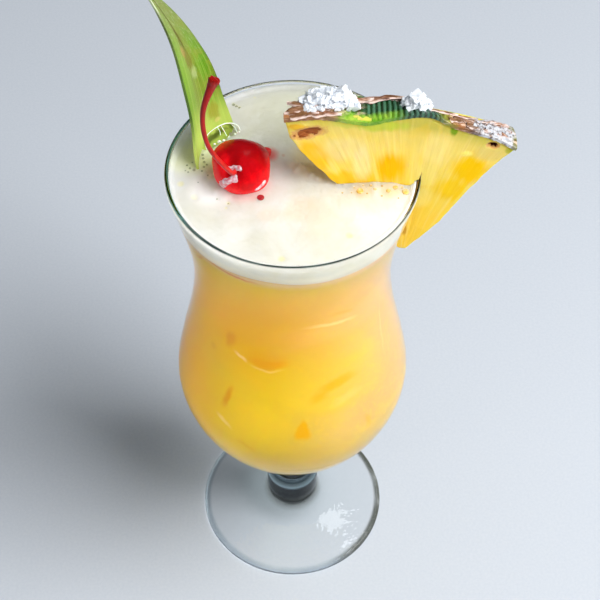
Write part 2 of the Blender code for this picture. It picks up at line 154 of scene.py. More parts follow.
def smoothLine(stations, perSpan):
    # Catmull-Rom line through the stations
    padded = [stations[0], *stations, stations[-1]]
    line = []
    for before, start, end, after in zip(padded, padded[1:], padded[2:], padded[3:]):
        for step in range(perSpan):
            t = step / perSpan
            line.append(
                0.5
                * (
                    2 * start
                    + (end - before) * t
                    + (2 * before - 5 * start + 4 * end - after) * t**2
                    + (3 * start - before - 3 * end + after) * t**3
                )
            )
    line.append(stations[-1].copy())
    return line


def tubePiece(name, places, thickness, swell=None, roundness=6):
    # a round tube through places in mm, as a closed mesh
    data = bpy.data.curves.new(name, "CURVE")
    data.dimensions = "3D"
    data.bevel_depth = thickness * mm
    data.bevel_resolution = roundness
    data.use_fill_caps = True
    thread = data.splines.new("POLY")
    thread.points.add(len(places) - 1)
    for index, (point, place) in enumerate(zip(thread.points, places)):
        point.co = (*(place * mm), 1)
        point.radius = swell(index / (len(places) - 1)) if swell else 1
    piece = bpy.data.objects.new(name, data)
    bpy.context.collection.objects.link(piece)
    makeActive(piece)
    bpy.ops.object.convert(target="MESH")
    piece = takeNew(name)
    faceOutward(piece, seam)
    return piece


def toLine(place, line):
    # shortest distance from a place to a line through points
    shortest = math.inf
    for start, end in zip(line, line[1:]):
        run = end - start
        share = min(max((place - start).dot(run) / run.length_squared, 0), 1)
        shortest = min(shortest, (place - start - run * share).length)
    return shortest


def arcLine(centre, radius, start, end, count):
    # (x, height) points along an arc, angles in degrees
    line = []
    for step in range(count):
        angle = math.radians(start + (end - start) * step / (count - 1))
        line.append(Vector((centre[0] + radius * math.cos(angle), centre[1] + radius * math.sin(angle))))
    return line


def lookUp(line, height):
    # radius at a height, from (radius, height) points in rising order
    for lower, upper in zip(line, line[1:]):
        if lower.y <= height <= upper.y and upper.y > lower.y:
            return lower.x + (upper.x - lower.x) * (height - lower.y) / (upper.y - lower.y)
    return line[-1].x if height > line[-1].y else line[0].x


def bump01(distance, reach):
    # 1 at no distance, falling smoothly to 0 at the reach
    share = min(1.0, max(0.0, 1 - distance / reach))
    return share * share * (3 - 2 * share)


# Material tools: most take sockets or plain values, and give the socket of a new node

def linear(part):
    return ((part / 255 + 0.055) / 1.055) ** 2.4 if part > 10 else part / 255 / 12.92


def colour(red, green, blue):
    # screen colour, 0 to 255, as the linear value that a shader takes
    return (linear(red), linear(green), linear(blue), 1)


def feed(socket, value):
    if isinstance(value, bpy.types.NodeSocket):
        socket.id_data.links.new(value, socket)
    else:
        socket.default_value = value


def addNode(tree, kind, inputs=None, **settings):
    made = tree.nodes.new("ShaderNode" + kind)
    for key, value in settings.items():
        setattr(made, key, value)
    for key, value in (inputs or {}).items():
        feed(made.inputs[key], value)
    return made


def newMaterial(name, settings):
    made = bpy.data.materials.new(name)
    made.use_nodes = True
    shader = made.node_tree.nodes["Principled BSDF"]
    for key, value in settings.items():
        shader.inputs[key].default_value = value
    return made, made.node_tree, shader


def objectPlace(tree):
    return addNode(tree, "TexCoord").outputs["Object"]


def uvPlace(tree):
    return addNode(tree, "TexCoord").outputs["UV"]


def stretched(vector, scale):
    return addNode(vector.id_data, "Mapping", {"Vector": vector, "Scale": scale}).outputs[0]


def noiseOf(vector, scale, detail=3, roughness=0.5, distortion=0):
    settings = {"Vector": vector, "Scale": scale, "Detail": detail, "Roughness": roughness}
    settings["Distortion"] = distortion
    return addNode(vector.id_data, "TexNoise", settings).outputs["Fac"]


def rampOf(factor, stops):
    made = addNode(factor.id_data, "ValToRGB", {"Fac": factor})
    elements = made.color_ramp.elements
    while len(elements) < len(stops):
        elements.new(1)
    for element, (place, value) in zip(elements, stops):
        element.position = place
        element.color = value if hasattr(value, "__len__") else (value, value, value, 1)
    return made.outputs["Color"]


def mixed(factor, first, second):
    made = addNode(factor.id_data, "Mix", data_type="RGBA")
    for index, value in zip((0, 6, 7), (factor, first, second)):  # the sockets of a colour mix
        feed(made.inputs[index], value)
    return made.outputs[2]


def sums(operation, *values):
    tree = next(value.id_data for value in values if isinstance(value, bpy.types.NodeSocket))
    made = addNode(tree, "Math", operation=operation)
    for socket, value in zip(made.inputs, values):
        feed(socket, value)
    return made.outputs[0]


def plus(first, second):
    return sums("ADD", first, second)


def minus(first, second):
    return sums("SUBTRACT", first, second)


def times(first, second):
    return sums("MULTIPLY", first, second)


def absolute(value):
    return sums("ABSOLUTE", value)


def ranged(value, low, high, toLow=0.0, toHigh=1.0, smooth=True):
    made = addNode(value.id_data, "MapRange", interpolation_type="SMOOTHSTEP" if smooth else "LINEAR")
    keys = ("Value", "From Min", "From Max", "To Min", "To Max")
    for key, setting in zip(keys, (value, low, high, toLow, toHigh)):
        feed(made.inputs[key], setting)
    return made.outputs[0]


def parts(vector):
    return addNode(vector.id_data, "SeparateXYZ", {"Vector": vector}).outputs


def lengthOf(vector):
    return addNode(vector.id_data, "VectorMath", {0: vector}, operation="LENGTH").outputs["Value"]


def distanceTo(vector, point):
    settings = {0: vector, 1: point}
    return addNode(vector.id_data, "VectorMath", settings, operation="DISTANCE").outputs["Value"]


def patchAway(vector, centre, halfSize, turn=(0, 0, 0)):
    # 0 at the centre of an oval patch, 1 on its edge
    settings = {"Vector": vector, "Location": centre, "Rotation": turn, "Scale": halfSize}
    return lengthOf(addNode(vector.id_data, "Mapping", settings, vector_type="TEXTURE").outputs[0])


def addBump(shader, height, distance, strength=1.0):
    settings = {"Height": height, "Distance": distance, "Strength": strength}
    feed(shader.inputs["Normal"], addNode(shader.id_data, "Bump", settings).outputs[0])


# Camera, floor and light

view = {
    "place": (0.0026, -0.31393, 0.53768),
    "lookDown": 52.152,
    "roll": 0.417,
    "lens": 88.9,
}

studio = {
    "floorTones": (colour(185, 191, 199), colour(191, 196, 203)),
    "floorSize": 6.0,
    "keyPlace": (0.82, -0.36, 1.19),
    "keySize": 0.85,
    "keyPower": 32.6,
    # a small lamp behind on the right, seen only as the gleam on the foot
    "gleamPlace": (0.52, 0.19, 1.19),
    "gleamSize": (0.50, 0.40),
    "gleamPower": 2.6,
    # a weak, low and broad light from the front left
    "fillPlace": (-0.85, -0.95, 0.34),
    "fillSize": (1.1, 0.6),
    "fillPower": 5.8,
    # the room from floor level to straight up
    "roomTones": [
        (0.0, (0.022, 0.031, 0.036, 1)), (0.35, (0.055, 0.066, 0.076, 1)), (1.0, (0.140, 0.163, 0.187, 1)),
    ],
}


def makeCamera():
    data = bpy.data.cameras.new("camera")
    camera = bpy.data.objects.new("camera", data)
    bpy.context.scene.collection.objects.link(camera)
    data.lens = view["lens"]
    data.sensor_width = 36
    data.clip_start = 0.01
    data.clip_end = 20
    tilt = Matrix.Rotation(math.radians(90 - view["lookDown"]), 4, "X")
    camera.matrix_world = (
        Matrix.Translation(view["place"]) @ tilt @ Matrix.Rotation(math.radians(view["roll"]), 4, "Z")
    )
    bpy.context.scene.camera = camera


def addLamp(name, place, target, size, power):
    data = bpy.data.lights.new(name, "AREA")
    data.shape = "RECTANGLE"
    data.size, data.size_y = size
    data.energy = power
    lamp = bpy.data.objects.new(name, data)
    bpy.context.scene.collection.objects.link(lamp)
    lamp.location = place
    lamp.rotation_euler = (Vector(place) - Vector(target)).to_track_quat("Z", "Y").to_euler()
    return lamp


def makeStudio():
    bpy.ops.mesh.primitive_plane_add(size=studio["floorSize"], location=(0, 0, 0))
    floor = takeNew("floor")
    material, tree, shader = newMaterial("paleTable", {"Roughness": 0.55, "Specular IOR Level": 0.3})
    grain = noiseOf(objectPlace(tree), 900, 3)
    dark, light = studio["floorTones"]
    shade = rampOf(grain, [(0.3, dark), (0.7, light)])
    feed(shader.inputs["Base Color"], shade)
    floor.data.materials.append(material)

    size = studio["keySize"]
    key = addLamp("keyLamp", studio["keyPlace"], (0, 0, 0.12), (size, size), studio["keyPower"])
    key.visible_glossy = False  # it lights everything, but makes no hard window on the gloss
    addLamp("gleamLamp", studio["gleamPlace"], (0, 0, 0), studio["gleamSize"], studio["gleamPower"])
    fill = addLamp("fillLamp", studio["fillPlace"], (0, 0, 0.12), studio["fillSize"], studio["fillPower"])
    fill.visible_glossy = False

    world = bpy.data.worlds.new("softRoom")
    bpy.context.scene.world = world
    world.use_nodes = True
    tree = world.node_tree
    upwards = parts(addNode(tree, "TexCoord").outputs["Generated"])[2]
    feed(tree.nodes["Background"].inputs["Color"], rampOf(upwards, studio["roomTones"]))

    scene = bpy.context.scene
    scene.view_settings.view_transform = "Standard"
    print("camera, floor and lamps set")


# Glass

glass = {
    "height": 200,
    "rimRadius": 39.9,
    # outside of the bowl, (radius, height) in mm, rim to neck
    "bowl": [
        (39.9, 199.05), (37.9, 190), (35.4, 178), (33.6, 167), (32.9, 155), (33.7, 143),
        (35.9, 129), (39.0, 114.5), (41.4, 99), (39.2, 85.5), (33.6, 73), (25.6, 61.5),
        (17.0, 52), (10.6, 44.5), (7.9, 38), (7.2, 31),
    ],
    "wall": 1.9,
    "insideTop": 198.4,  # where the inside meets the rim's bead
    "baseInside": 47.5,
    "baseBlend": 66,
    "neck": [(7.2, 31), (7.25, 28.5), (7.3, 26.5), (7.6, 25.2), (8.1, 24.5)],
    "knopRadius": 10.1,
    "knopTop": 24.3,
    "knopRound": 1.6,
    "knopSides": (17.5, 19.5, 21.5),  # heights along its straight side
    "footTop": [(10.1, 15.6), (9.5, 12.6), (10.3, 10.6), (12.6, 8.2), (17.0, 5.6), (25.0, 3.6), (35.2, 2.2)],
    "footRadius": 36.3,
    "footEdge": 2.2,
    "sides": 160,
    # what a long way through the glass takes out of the light
    "depthTint": (0.45, 0.64, 0.62, 1),
    "depthDensity": 14,
    # painted dark line in the rim's bead, standing in for the dark seen through it: its tones, and from where
    # it starts at the front and on the left
    "rimDark": (0.0025, 0.006, 0.005, 1),
    "rimPale": (0.014, 0.03, 0.027, 1),
    "rimLeft": (0.06, 0.32, 0.34, 1),
    "rimStart": (0.0389, 0.0384),
    # painted dark edge of the foot, standing in for the dark seen through it: grey-blue round the left, olive
    # on the right
    "footEdgeTints": ((0.66, 0.72, 0.74, 1), (0.18, 0.18, 0.145, 1)),
    # tint by height, 0 to 30 mm: painted shade makes the knop dark, standing in for the dark seen through it,
    # with two painted highlight rings at its top
    "tintsAndKnopShade": [
        (0.0, (1.0, 0.99, 0.96, 1)), (0.29, (0.99, 0.98, 0.95, 1)), (0.36, (0.36, 0.34, 0.30, 1)),
        (0.41, (0.002, 0.002, 0.0012, 1)), (0.54, (0.0002, 0.0004, 0.0006, 1)),
        (0.755, (0.0006, 0.0012, 0.0018, 1)),
        (0.785, (0.42, 0.54, 0.60, 1)), (0.815, (0.012, 0.018, 0.022, 1)), (0.86, (0.10, 0.14, 0.17, 1)),
        (1.0, (0.985, 0.995, 0.99, 1)),
    ],
    # strength of the reflections by height, 0 to 60 mm: the foot shines, the bowl hardly does
    "shine": [(0.0, 1), (0.16, 1), (0.20, 0.15), (0.42, 0.15), (0.6, 0.03)],
    # how much of the lamps gets through, by height
    "lampShare": [(0.0, 1.0), (0.03, 1.0), (0.05, 0.7), (0.20, 0.7), (0.235, 0.93), (1.0, 0.93)],
}


def vectors(pairs):
    return [Vector(pair) for pair in pairs]


outsideLine = smoothLine(vectors(reversed(glass["bowl"])), 5)  # neck to rim, rising


def outerRadius(height):
    return lookUp(outsideLine, height)


def innerRadius(height):
    if height >= glass["baseBlend"]:
        return outerRadius(height) - glass["wall"]
    share = max(height - glass["baseInside"], 0) / (glass["baseBlend"] - glass["baseInside"])
    return (outerRadius(glass["baseBlend"]) - glass["wall"]) * math.sqrt(share)


def insideHeights(top, step=2.5):
    # heights up the inside of the bowl, closer together in its round bottom
    start = glass["baseBlend"]
    depth = start - glass["baseInside"]
    bottom = [glass["baseInside"] + depth * (index / 14) ** 2 for index in range(1, 15)]
    count = int((top - start) / step)
    return bottom + [start + (top - start) * index / count for index in range(1, count + 1)]


def glassMaterial():
    material, tree, shader = newMaterial("clearGlass", {"Transmission Weight": 1.0, "IOR": 1.5})
    place = objectPlace(tree)
    x, y, height = parts(place)
    out = lengthOf(addNode(tree, "CombineXYZ", {"X": x, "Y": y}).outputs[0])
    shine = rampOf(ranged(height, 0.0, 0.06, smooth=False), glass["shine"])
    feed(shader.inputs["Specular Tint"], shine)
    # tint by height, with the knop's painted shade and its two painted highlight rings
    body = rampOf(ranged(height, 0.0, 0.03, smooth=False), glass["tintsAndKnopShade"])
    atFront, atSide = glass["rimStart"]
    # the rim's bead is painted dark in a line, standing in for the dark seen through it
    start = plus(ranged(x, -0.036, -0.008, atSide, atFront), ranged(x, 0.01, 0.03, 0.0, 0.0002))
    dark = times(ranged(minus(out, start), 0.0, 0.0003), ranged(out, 0.03985, 0.0395))
    dark = times(dark, ranged(height, 0.1984, 0.1990))
    uneven = noiseOf(place, 70, 3)
    bead = mixed(ranged(uneven, 0.42, 0.62), glass["rimDark"], glass["rimPale"])
    bead = mixed(ranged(x, -0.031, -0.037, 0.0, 0.9), bead, glass["rimLeft"])
    body = mixed(dark, body, bead)
    # the foot's edge is painted darker, standing in for the dark seen through it
    atEdge = times(ranged(out, 0.0332, 0.0347), ranged(height, 0.004, 0.003))
    edgeTint = mixed(ranged(x, 0.012, 0.026), *glass["footEdgeTints"])
    atEdge = times(atEdge, ranged(uneven, 0.3, 0.5, 0.6, 1.0))
    body = mixed(atEdge, body, edgeTint)
    feed(shader.inputs["Base Color"], body)
    wipe = noiseOf(stretched(place, (30, 30, 9)), 4, 3)
    feed(shader.inputs["Roughness"], ranged(wipe, 0.45, 0.75, 0.0, 0.035))
    # pressed glass: the foot is a little wavy
    waves = times(noiseOf(place, 110, 3, 0.6), ranged(height, 0.012, 0.006, 0.0, 9.0))
    addBump(shader, plus(noiseOf(place, 45, 1), waves), 0.0002, 0.25)
    # lamps shine through to the drink, dimmed a little by each wall
    passed = rampOf(ranged(height, 0.0, 0.2, smooth=False), glass["lampShare"])
    lampThrough = addNode(tree, "BsdfTransparent", {"Color": passed})
    path = addNode(tree, "LightPath")
    blend = addNode(tree, "MixShader")
    feed(blend.inputs[0], path.outputs["Is Shadow Ray"])
    feed(blend.inputs[1], shader.outputs[0])
    feed(blend.inputs[2], lampThrough.outputs[0])
    output = tree.nodes["Material Output"]
    feed(output.inputs["Surface"], blend.outputs[0])
    depth = addNode(tree, "VolumeAbsorption", {"Color": glass["depthTint"], "Density": glass["depthDensity"]})
    feed(output.inputs["Volume"], depth.outputs[0])
    return material


def makeGlass():
    edge = glass["footEdge"] / 2
    corner = glass["knopRound"]
    knop = glass["knopRadius"]
    line = arcLine((glass["footRadius"] - edge, edge), edge, -90, 90, 12)
    line += smoothLine(vectors(reversed(glass["footTop"])), 5)[1:]
    line += [Vector((knop, height)) for height in glass["knopSides"]]
    line += arcLine((knop - corner, glass["knopTop"] - corner), corner, 0, 80, 8)
    line += smoothLine(vectors(reversed(glass["neck"])), 3)
    line += outsideLine[1:-1]
    bead = glass["wall"] / 2
    line += arcLine((glass["rimRadius"] - bead, glass["height"] - bead), bead, 0, 180, 14)
    line += [Vector((innerRadius(height), height)) for height in reversed(insideHeights(glass["insideTop"]))]
    line += [Vector((0.6, glass["baseInside"] + 0.02))]  # a last small ring round the axis
    piece = turnedPiece("glassware", [(point.x * mm, point.y * mm) for point in line], glass["sides"])
    smoothRound(piece, 50)
    handOver(piece, glassMaterial(), "glass", "glass")


# Drink

drink = {
    "level": 188.6,  # where foam begins, mm
    "intoWall": 0.15,
    "sides": 192,
    "wave": 0.45,
    # colours from the bottom up, painted light and shade: brighter for the shaded left, darker and greyer for
    # the lit right, whose paleness is a painted haze of reflection
    "leftTones": [
        (0.0, colour(255, 228, 62)), (0.2, colour(236, 203, 56)), (0.5, colour(224, 193, 38)),
        (0.75, colour(235, 190, 8)), (1.0, colour(255, 194, 30)),
    ],
    "rightTones": [
        (0.0, colour(232, 204, 92)), (0.2, colour(194, 170, 86)), (0.45, colour(187, 157, 97)),
        (0.75, colour(199, 162, 106)), (1.0, colour(218, 178, 112)),
    ],
    "turnsPale": (-0.014, 0.036),
    # marks of the sunk ice on the wall, by colour: angle from the front (degrees), height, half width
    # and half height (mm), turn (degrees), taper, bend, softness, strength
    "marks": {
        colour(206, 157, 0): [
            (5.6, 110.8, 4.7, 5.8, 0, 0.9, 0.0, 0.6, 1.0),
            (26.0, 129.0, 11.0, 3.0, 12, 0.4, 0.2, 0.8, 0.8),
            (14.5, 124.5, 4.0, 2.6, 20, 0.2, 0.0, 0.85, 0.6),
            (41.5, 104.5, 1.7, 4.4, 12, 0.2, 0.0, 0.9, 0.45),
            (-23.0, 99.0, 6.0, 1.4, -24, 0.2, 0.0, 0.95, 0.4),
            (30.0, 164.0, 6.5, 1.6, -22, 0.2, 0.4, 0.95, 0.35),
            (-50.0, 136.5, 1.6, 2.0, 0, 0.0, 0.0, 0.95, 0.35),
        ],
        colour(216, 153, 0): [
            (-37.5, 145.5, 1.8, 5.4, -12, -0.5, 0.0, 0.8, 0.7),
            (-36.2, 118.5, 1.9, 6.8, -14, 0.3, 0.0, 0.8, 0.85),
            (-15.5, 142.0, 10.5, 4.6, 4, 0.2, -0.4, 1.0, 0.4),
            (-15.0, 139.6, 8.0, 2.6, 4, 0.0, -1.0, 0.7, 0.65),
        ],
        colour(236, 122, 44): [
            (-31.0, 187.0, 10.5, 0.7, -3, 0.0, 0.0, 0.8, 0.75),
            (-52.0, 184.2, 4.2, 0.9, 46, 0.0, 0.0, 0.9, 0.5),
        ],
        colour(252, 224, 160): [
            (-30.8, 139.8, 3.6, 1.2, -28, 0.3, 0.0, 0.8, 0.6),
            (-36.0, 106.5, 5.0, 1.3, -30, 0.3, 0.0, 0.8, 0.45),
            (-14.5, 136.9, 7.5, 0.8, 4, 0.2, -2.6, 0.95, 0.3),
            (24.0, 159.5, 12.0, 1.3, -10, 0.3, 0.5, 0.95, 0.45),
            (30.0, 121.0, 9.0, 2.6, 12, 0.3, 0.0, 0.95, 0.12),
            (62.0, 140.0, 0.6, 16.0, 0, 0.0, 0.0, 0.9, 0.15),
        ],
    },
}


def markGroup():
    # one soft-edged mark: 1 inside a bent, tapering patch of the wall, 0 outside
    group = bpy.data.node_groups.new("iceMark", "ShaderNodeTree")
    face = group.interface
    for name in ("Vector", "Location", "Rotation", "Scale"):
        face.new_socket(name, in_out="INPUT", socket_type="NodeSocketVector")
    for name in ("Taper", "Bend", "Softness"):
        face.new_socket(name, in_out="INPUT", socket_type="NodeSocketFloat")
    face.new_socket("Mask", in_out="OUTPUT", socket_type="NodeSocketFloat")
    given = group.nodes.new("NodeGroupInput").outputs
    result = group.nodes.new("NodeGroupOutput").inputs["Mask"]
    settings = {name: given[name] for name in ("Vector", "Location", "Rotation", "Scale")}
    across, up, out = parts(addNode(group, "Mapping", settings, vector_type="TEXTURE").outputs[0])
    bent = plus(up, times(times(across, across), given["Bend"]))
    narrowing = times(sums("MULTIPLY_ADD", bent, 0.5, 0.5), given["Taper"])
    halfWidth = sums("MAXIMUM", minus(1.0, narrowing), 0.05)
    sideways = sums("DIVIDE", absolute(across), halfWidth)
    # halfway between a square and a round edge
    square = sums("MAXIMUM", sideways, absolute(bent))
    circle = sums("SQRT", plus(times(sideways, sideways), times(bent, bent)))
    reach = sums("MAXIMUM", times(plus(square, circle), 0.5), absolute(out))
    feed(result, ranged(reach, 1.1, minus(1.1, given["Softness"])))
    return group


def drinkMaterial():
    material, tree, shader = newMaterial(
        "juice",
        {"Roughness": 0.5, "Subsurface Radius": (1.0, 0.75, 0.08),
         "Subsurface Scale": 0.055, "Specular IOR Level": 0.02},
    )
    place = objectPlace(tree)
    x, y, height = parts(place)
    drift = noiseOf(stretched(place, (14, 14, 22)), 1.0, 3, 0.5, 0.8)
    shifted = plus(height, ranged(drift, 0.3, 0.7, -0.02, 0.02))
    rising = ranged(shifted, 0.045, 0.192, smooth=False)
    sideways = plus(x, ranged(drift, 0.3, 0.7, -0.008, 0.008))
    # painted light and shade across the drink, from the shaded left to the lit, hazy right
    body = mixed(
        ranged(sideways, *drink["turnsPale"]),
        rampOf(rising, drink["leftTones"]), rampOf(rising, drink["rightTones"]),
    )
    feed(shader.inputs["Subsurface Weight"], ranged(height, 0.1888, 0.1845, 0.6, 1.0))
    # warmer towards the left edge; painted shade darkens the middle
    body = mixed(ranged(x, -0.022, -0.036, 0.0, 0.6), body, colour(252, 186, 0))
    middleShade = ranged(absolute(sideways), 0.026, 0.0, 0.0, 0.16)
    middleShade = times(middleShade, ranged(height, 0.188, 0.160))
    middleShade = times(middleShade, ranged(height, 0.062, 0.088))
    body = mixed(middleShade, body, colour(0, 0, 0))
    pulp = noiseOf(place, 700, 4, 0.6)
    body = mixed(ranged(pulp, 0.45, 0.8, 0.0, 0.2), body, colour(240, 200, 24))
    cloud = noiseOf(stretched(place, (30, 30, 55)), 1.0, 4, 0.6, 1.2)
    body = mixed(ranged(cloud, 0.45, 0.75, 0.0, 0.2), body, colour(238, 200, 30))
    # creamy where it meets the foam, and painted lighter there to lift the dark seam under the foam
    body = mixed(ranged(height, 0.1838, 0.1888, 0.0, 0.8), body, colour(255, 208, 152))

    group = markGroup()
    ripple = addNode(tree, "TexNoise", {"Vector": place, "Scale": 260.0, "Detail": 2.0}).outputs["Color"]
    nudge = addNode(tree, "VectorMath", {0: ripple, 1: (-0.5, -0.5, -0.5)}, operation="ADD").outputs[0]
    waved = addNode(
        tree, "VectorMath", {0: nudge, 1: (0.0022, 0.0022, 0.0022), 2: place}, operation="MULTIPLY_ADD"
    ).outputs[0]
    for tone, marks in drink["marks"].items():
        for angle, tall, halfWidth, halfHeight, turn, taper, bend, soft, strength in marks:
            around = math.radians(angle)
            radius = innerRadius(tall) * mm
            settings = {
                "Vector": waved,
                "Location": (radius * math.sin(around), -radius * math.cos(around), tall * mm),
                "Rotation": (math.pi / 2, -math.radians(turn), around),
                "Scale": (halfWidth * mm, halfHeight * mm, 0.02),
                "Taper": taper, "Bend": bend, "Softness": soft,
            }
            mark = addNode(tree, "Group", settings, node_tree=group).outputs[0]
            body = mixed(times(mark, strength), body, tone)
    feed(shader.inputs["Base Color"], body)
    return material


def drinkTop(x, y):
    # height of the line between drink and foam at a place, mm
    around = math.atan2(y, x)
    wave = math.sin(around * 3 + 0.6) + 0.6 * math.sin(around * 7 + 2.0)
    return drink["level"] + drink["wave"] * wave * min(1.0, math.hypot(x, y) / 30)


def makeDrink():
    reach = drink["intoWall"]
    heights = insideHeights(drink["level"], 2.0)
    line = [(1.0, glass["baseInside"] - reach * 0.9)]
    line += [(innerRadius(height) + reach, height) for height in heights]
    top = innerRadius(drink["level"]) + reach
    line += [(top * share, drink["level"]) for share in (0.9, 0.6, 0.3, 0.02)]
    piece = turnedPiece("juice", [(radius * mm, height * mm) for radius, height in line], drink["sides"])
    for vert in piece.data.vertices:
        x, y, z = vert.co / mm
        blend = bump01(drink["level"] - z, 6.0)
        vert.co.z += (drinkTop(x, y) - drink["level"]) * blend * mm
    smoothRound(piece)
    handOver(piece, drinkMaterial(), "drink", "drink")


# Foam

foam = {
    "level": 197.6,
    "crown": 0.7,
    "edgeClimb": 1.3,  # foam left on the wall
    "underRim": 0.75,  # how far it shows in under the rim
    "sides": 288,
    "ringStep": 0.36,
    # pits left by burst bubbles: x, y, radius, depth, mm
    "pits": [
        (-29.9, -9.9, 1.3, 0.5), (-34.6, -4.5, 1.2, 0.4), (-3.0, -34.2, 1.2, 0.4), (17.2, -25.1, 1.2, 0.3),
        (-23.1, -10.6, 0.6, 0.5), (-19.6, -12.4, 0.7, 0.5), (-20.2, -14.3, 0.5, 0.4),
        (-19.4, 30.6, 0.7, 0.4), (-18.4, 29.8, 0.6, 0.4), (-17.4, 29.0, 0.6, 0.4), (-12.6, 33.6, 0.5, 0.4),
    ],
    # small lumps standing up: x, y, radius, rise
    "lumps": [
        (2.3, 2.2, 1.5, 1.3), (4.2, 0.9, 1.2, 1.1), (6.0, -1.2, 1.2, 0.9), (3.2, 1.6, 2.4, 0.5),
        (18.0, -14.0, 4.0, 0.5), (20.5, -18.5, 3.0, 0.5), (8.0, -20.0, 5.0, 0.4), (-8.0, -24.0, 4.0, 0.4),
        (-22.6, -7.4, 2.4, 1.0), (-20.2, -9.6, 2.2, 0.8), (-24.0, -3.6, 2.0, 0.9),
        (20.0, -6.0, 2.6, 0.7), (25.5, -6.2, 3.4, 1.1), (30.5, -6.0, 2.8, 1.0), (-23.4, 13.9, 1.1, 1.0),
        (-20.0, 15.8, 1.0, 0.9),
        (0.4, 3.6, 1.4, 0.8), (1.2, 0.6, 0.9, 0.9), (7.6, -2.4, 1.0, 0.7), (5.2, 2.6, 0.9, 0.8),
    ],
    # the hollow between the leaf and the cherry, under the large bubbles
    "hollows": [
        (-26.9, 12.4, 2.2, 3.4), (-25.8, 14.4, 2.7, 4.0), (-23.8, 16.2, 2.8, 4.2), (-21.6, 17.6, 2.6, 4.0),
        (-19.6, 18.6, 1.9, 2.6),
    ],
    # stains and painted light: x, y, reach, colour, strength
    "stainsAndPaintedLight": [
        # the first is painted light that lifts the cherry's shadow on the foam
        (-25.0, -6.5, 9.0, colour(250, 246, 236), 1.0), (-15.7, -2.1, 11.6, colour(246, 150, 146), 0.85),
        (-7.6, 7.6, 4.4, colour(216, 60, 66), 0.8),
        (-3.0, 7.3, 1.2, colour(196, 132, 92), 0.7), (2.4, -15.3, 7.0, colour(238, 206, 178), 0.35),
        (8.5, -22.4, 6.0, colour(238, 210, 180), 0.3), (-6.7, -17.4, 5.0, colour(238, 212, 184), 0.25),
        # the first darkens the back of the foam; the second is painted light that lifts the leaf's shadow,
        # tinted yellow-green
        (4.0, 26.0, 27.0, colour(182, 182, 158), 0.7), (-33.0, 12.0, 15.0, colour(250, 252, 196), 0.9),
        (30.0, -6.5, 5.0, colour(240, 206, 140), 0.55), (22.0, -6.5, 5.0, colour(240, 206, 140), 0.45),
        # painted shadow of the slice, yellowed, behind its left end
        (5.0, 6.5, 9.0, colour(222, 204, 140), 0.6),
    ],
}

cherry = {
    "radius": 9.0,
    "centre": Vector((-15.7, -2.1, 203.0)),
    "dimpleDirection": Vector((-0.25, -0.81, 0.53)).normalized(),
    "dimpleRadius": 4.6,
    "dimpleDepth": 1.3,
    # not quite round: towards, reach in degrees, swell in mm
    "swells": [
        (Vector((-0.84, 0.43, 0.34)), 42, 0.9), (Vector((0.76, -0.51, -0.40)), 36, 0.7),
        (Vector((0.82, 0.45, 0.35)), 30, 0.4), (Vector((0.13, 0.78, 0.61)), 46, -0.4),
        (Vector((0.45, -0.62, 0.64)), 38, -0.35), (Vector((-0.35, 0.1, 0.93)), 34, 0.3),
        (Vector((0.64, 0.72, -0.20)), 20, 4.6),
    ],
    # foam and syrup that cling to it, the second dab, above the stem's base, and the third, at the lower
    # right, also white as painted highlights: points along each dab, half width, rise, mm
    "dabsAndHighlights": [
        (((-21.8, -8.4, 201.2), (-20.8, -9.2, 203.4), (-19.2, -10.0, 205.0), (-17.4, -10.0, 206.2)),
         1.15, 0.36),
        (((-19.2, -7.9, 208.0), (-17.6, -7.8, 208.5), (-16.0, -8.0, 208.5)), 0.9, 0.32),
        (((-10.9, -9.4, 200.8), (-9.7, -8.6, 201.4), (-8.6, -7.5, 202.0)), 0.7, 0.4),
    ],
}


def foamHeight(x, y):
    out = math.hypot(x, y)
    reach = innerRadius(foam["level"])
    share = min(out / reach, 1)
    height = foam["level"] + foam["crown"] * math.cos(share * math.pi / 2)
    height += foam["edgeClimb"] * bump01(reach - out, 1.1) ** 2
    place = Vector((x, y, 0))
    calm = 1 - bump01(reach - out, 5.0)
    height += calm * 0.32 * noise.fractal(place * 0.11, 1.0, 2.0, 3)
    height += calm * 0.10 * noise.noise(place * 0.9)
    for px, py, radius, depth in foam["pits"]:
        height -= depth * bump01(math.hypot(x - px, y - py), radius * 1.5)
    for px, py, radius, rise in foam["lumps"]:
        height += rise * bump01(math.hypot(x - px, y - py), radius * 1.5)
    height -= max(
        depth * min(1.0, 1.8 * bump01(math.hypot(x - px, y - py), radius * 1.3))
        for px, py, radius, depth in foam["hollows"]
    )
    # foam climbs a little where it touches the cherry and the slice
    centre = cherry["centre"]
    sunk = math.sqrt(cherry["radius"] ** 2 - (centre.z - foam["level"] - 0.4) ** 2)
    gap = math.hypot(x - centre.x, y - centre.y) - sunk
    height += 0.9 * bump01(abs(gap), 1.8)
    if 12 < x < 37.5:
        beside = max(wedge["front"] - y, y - wedge["back"], 0)
        height += 0.6 * bump01(beside, 1.6) * bump01(max(14.5 - x, 0), 2)
    return height


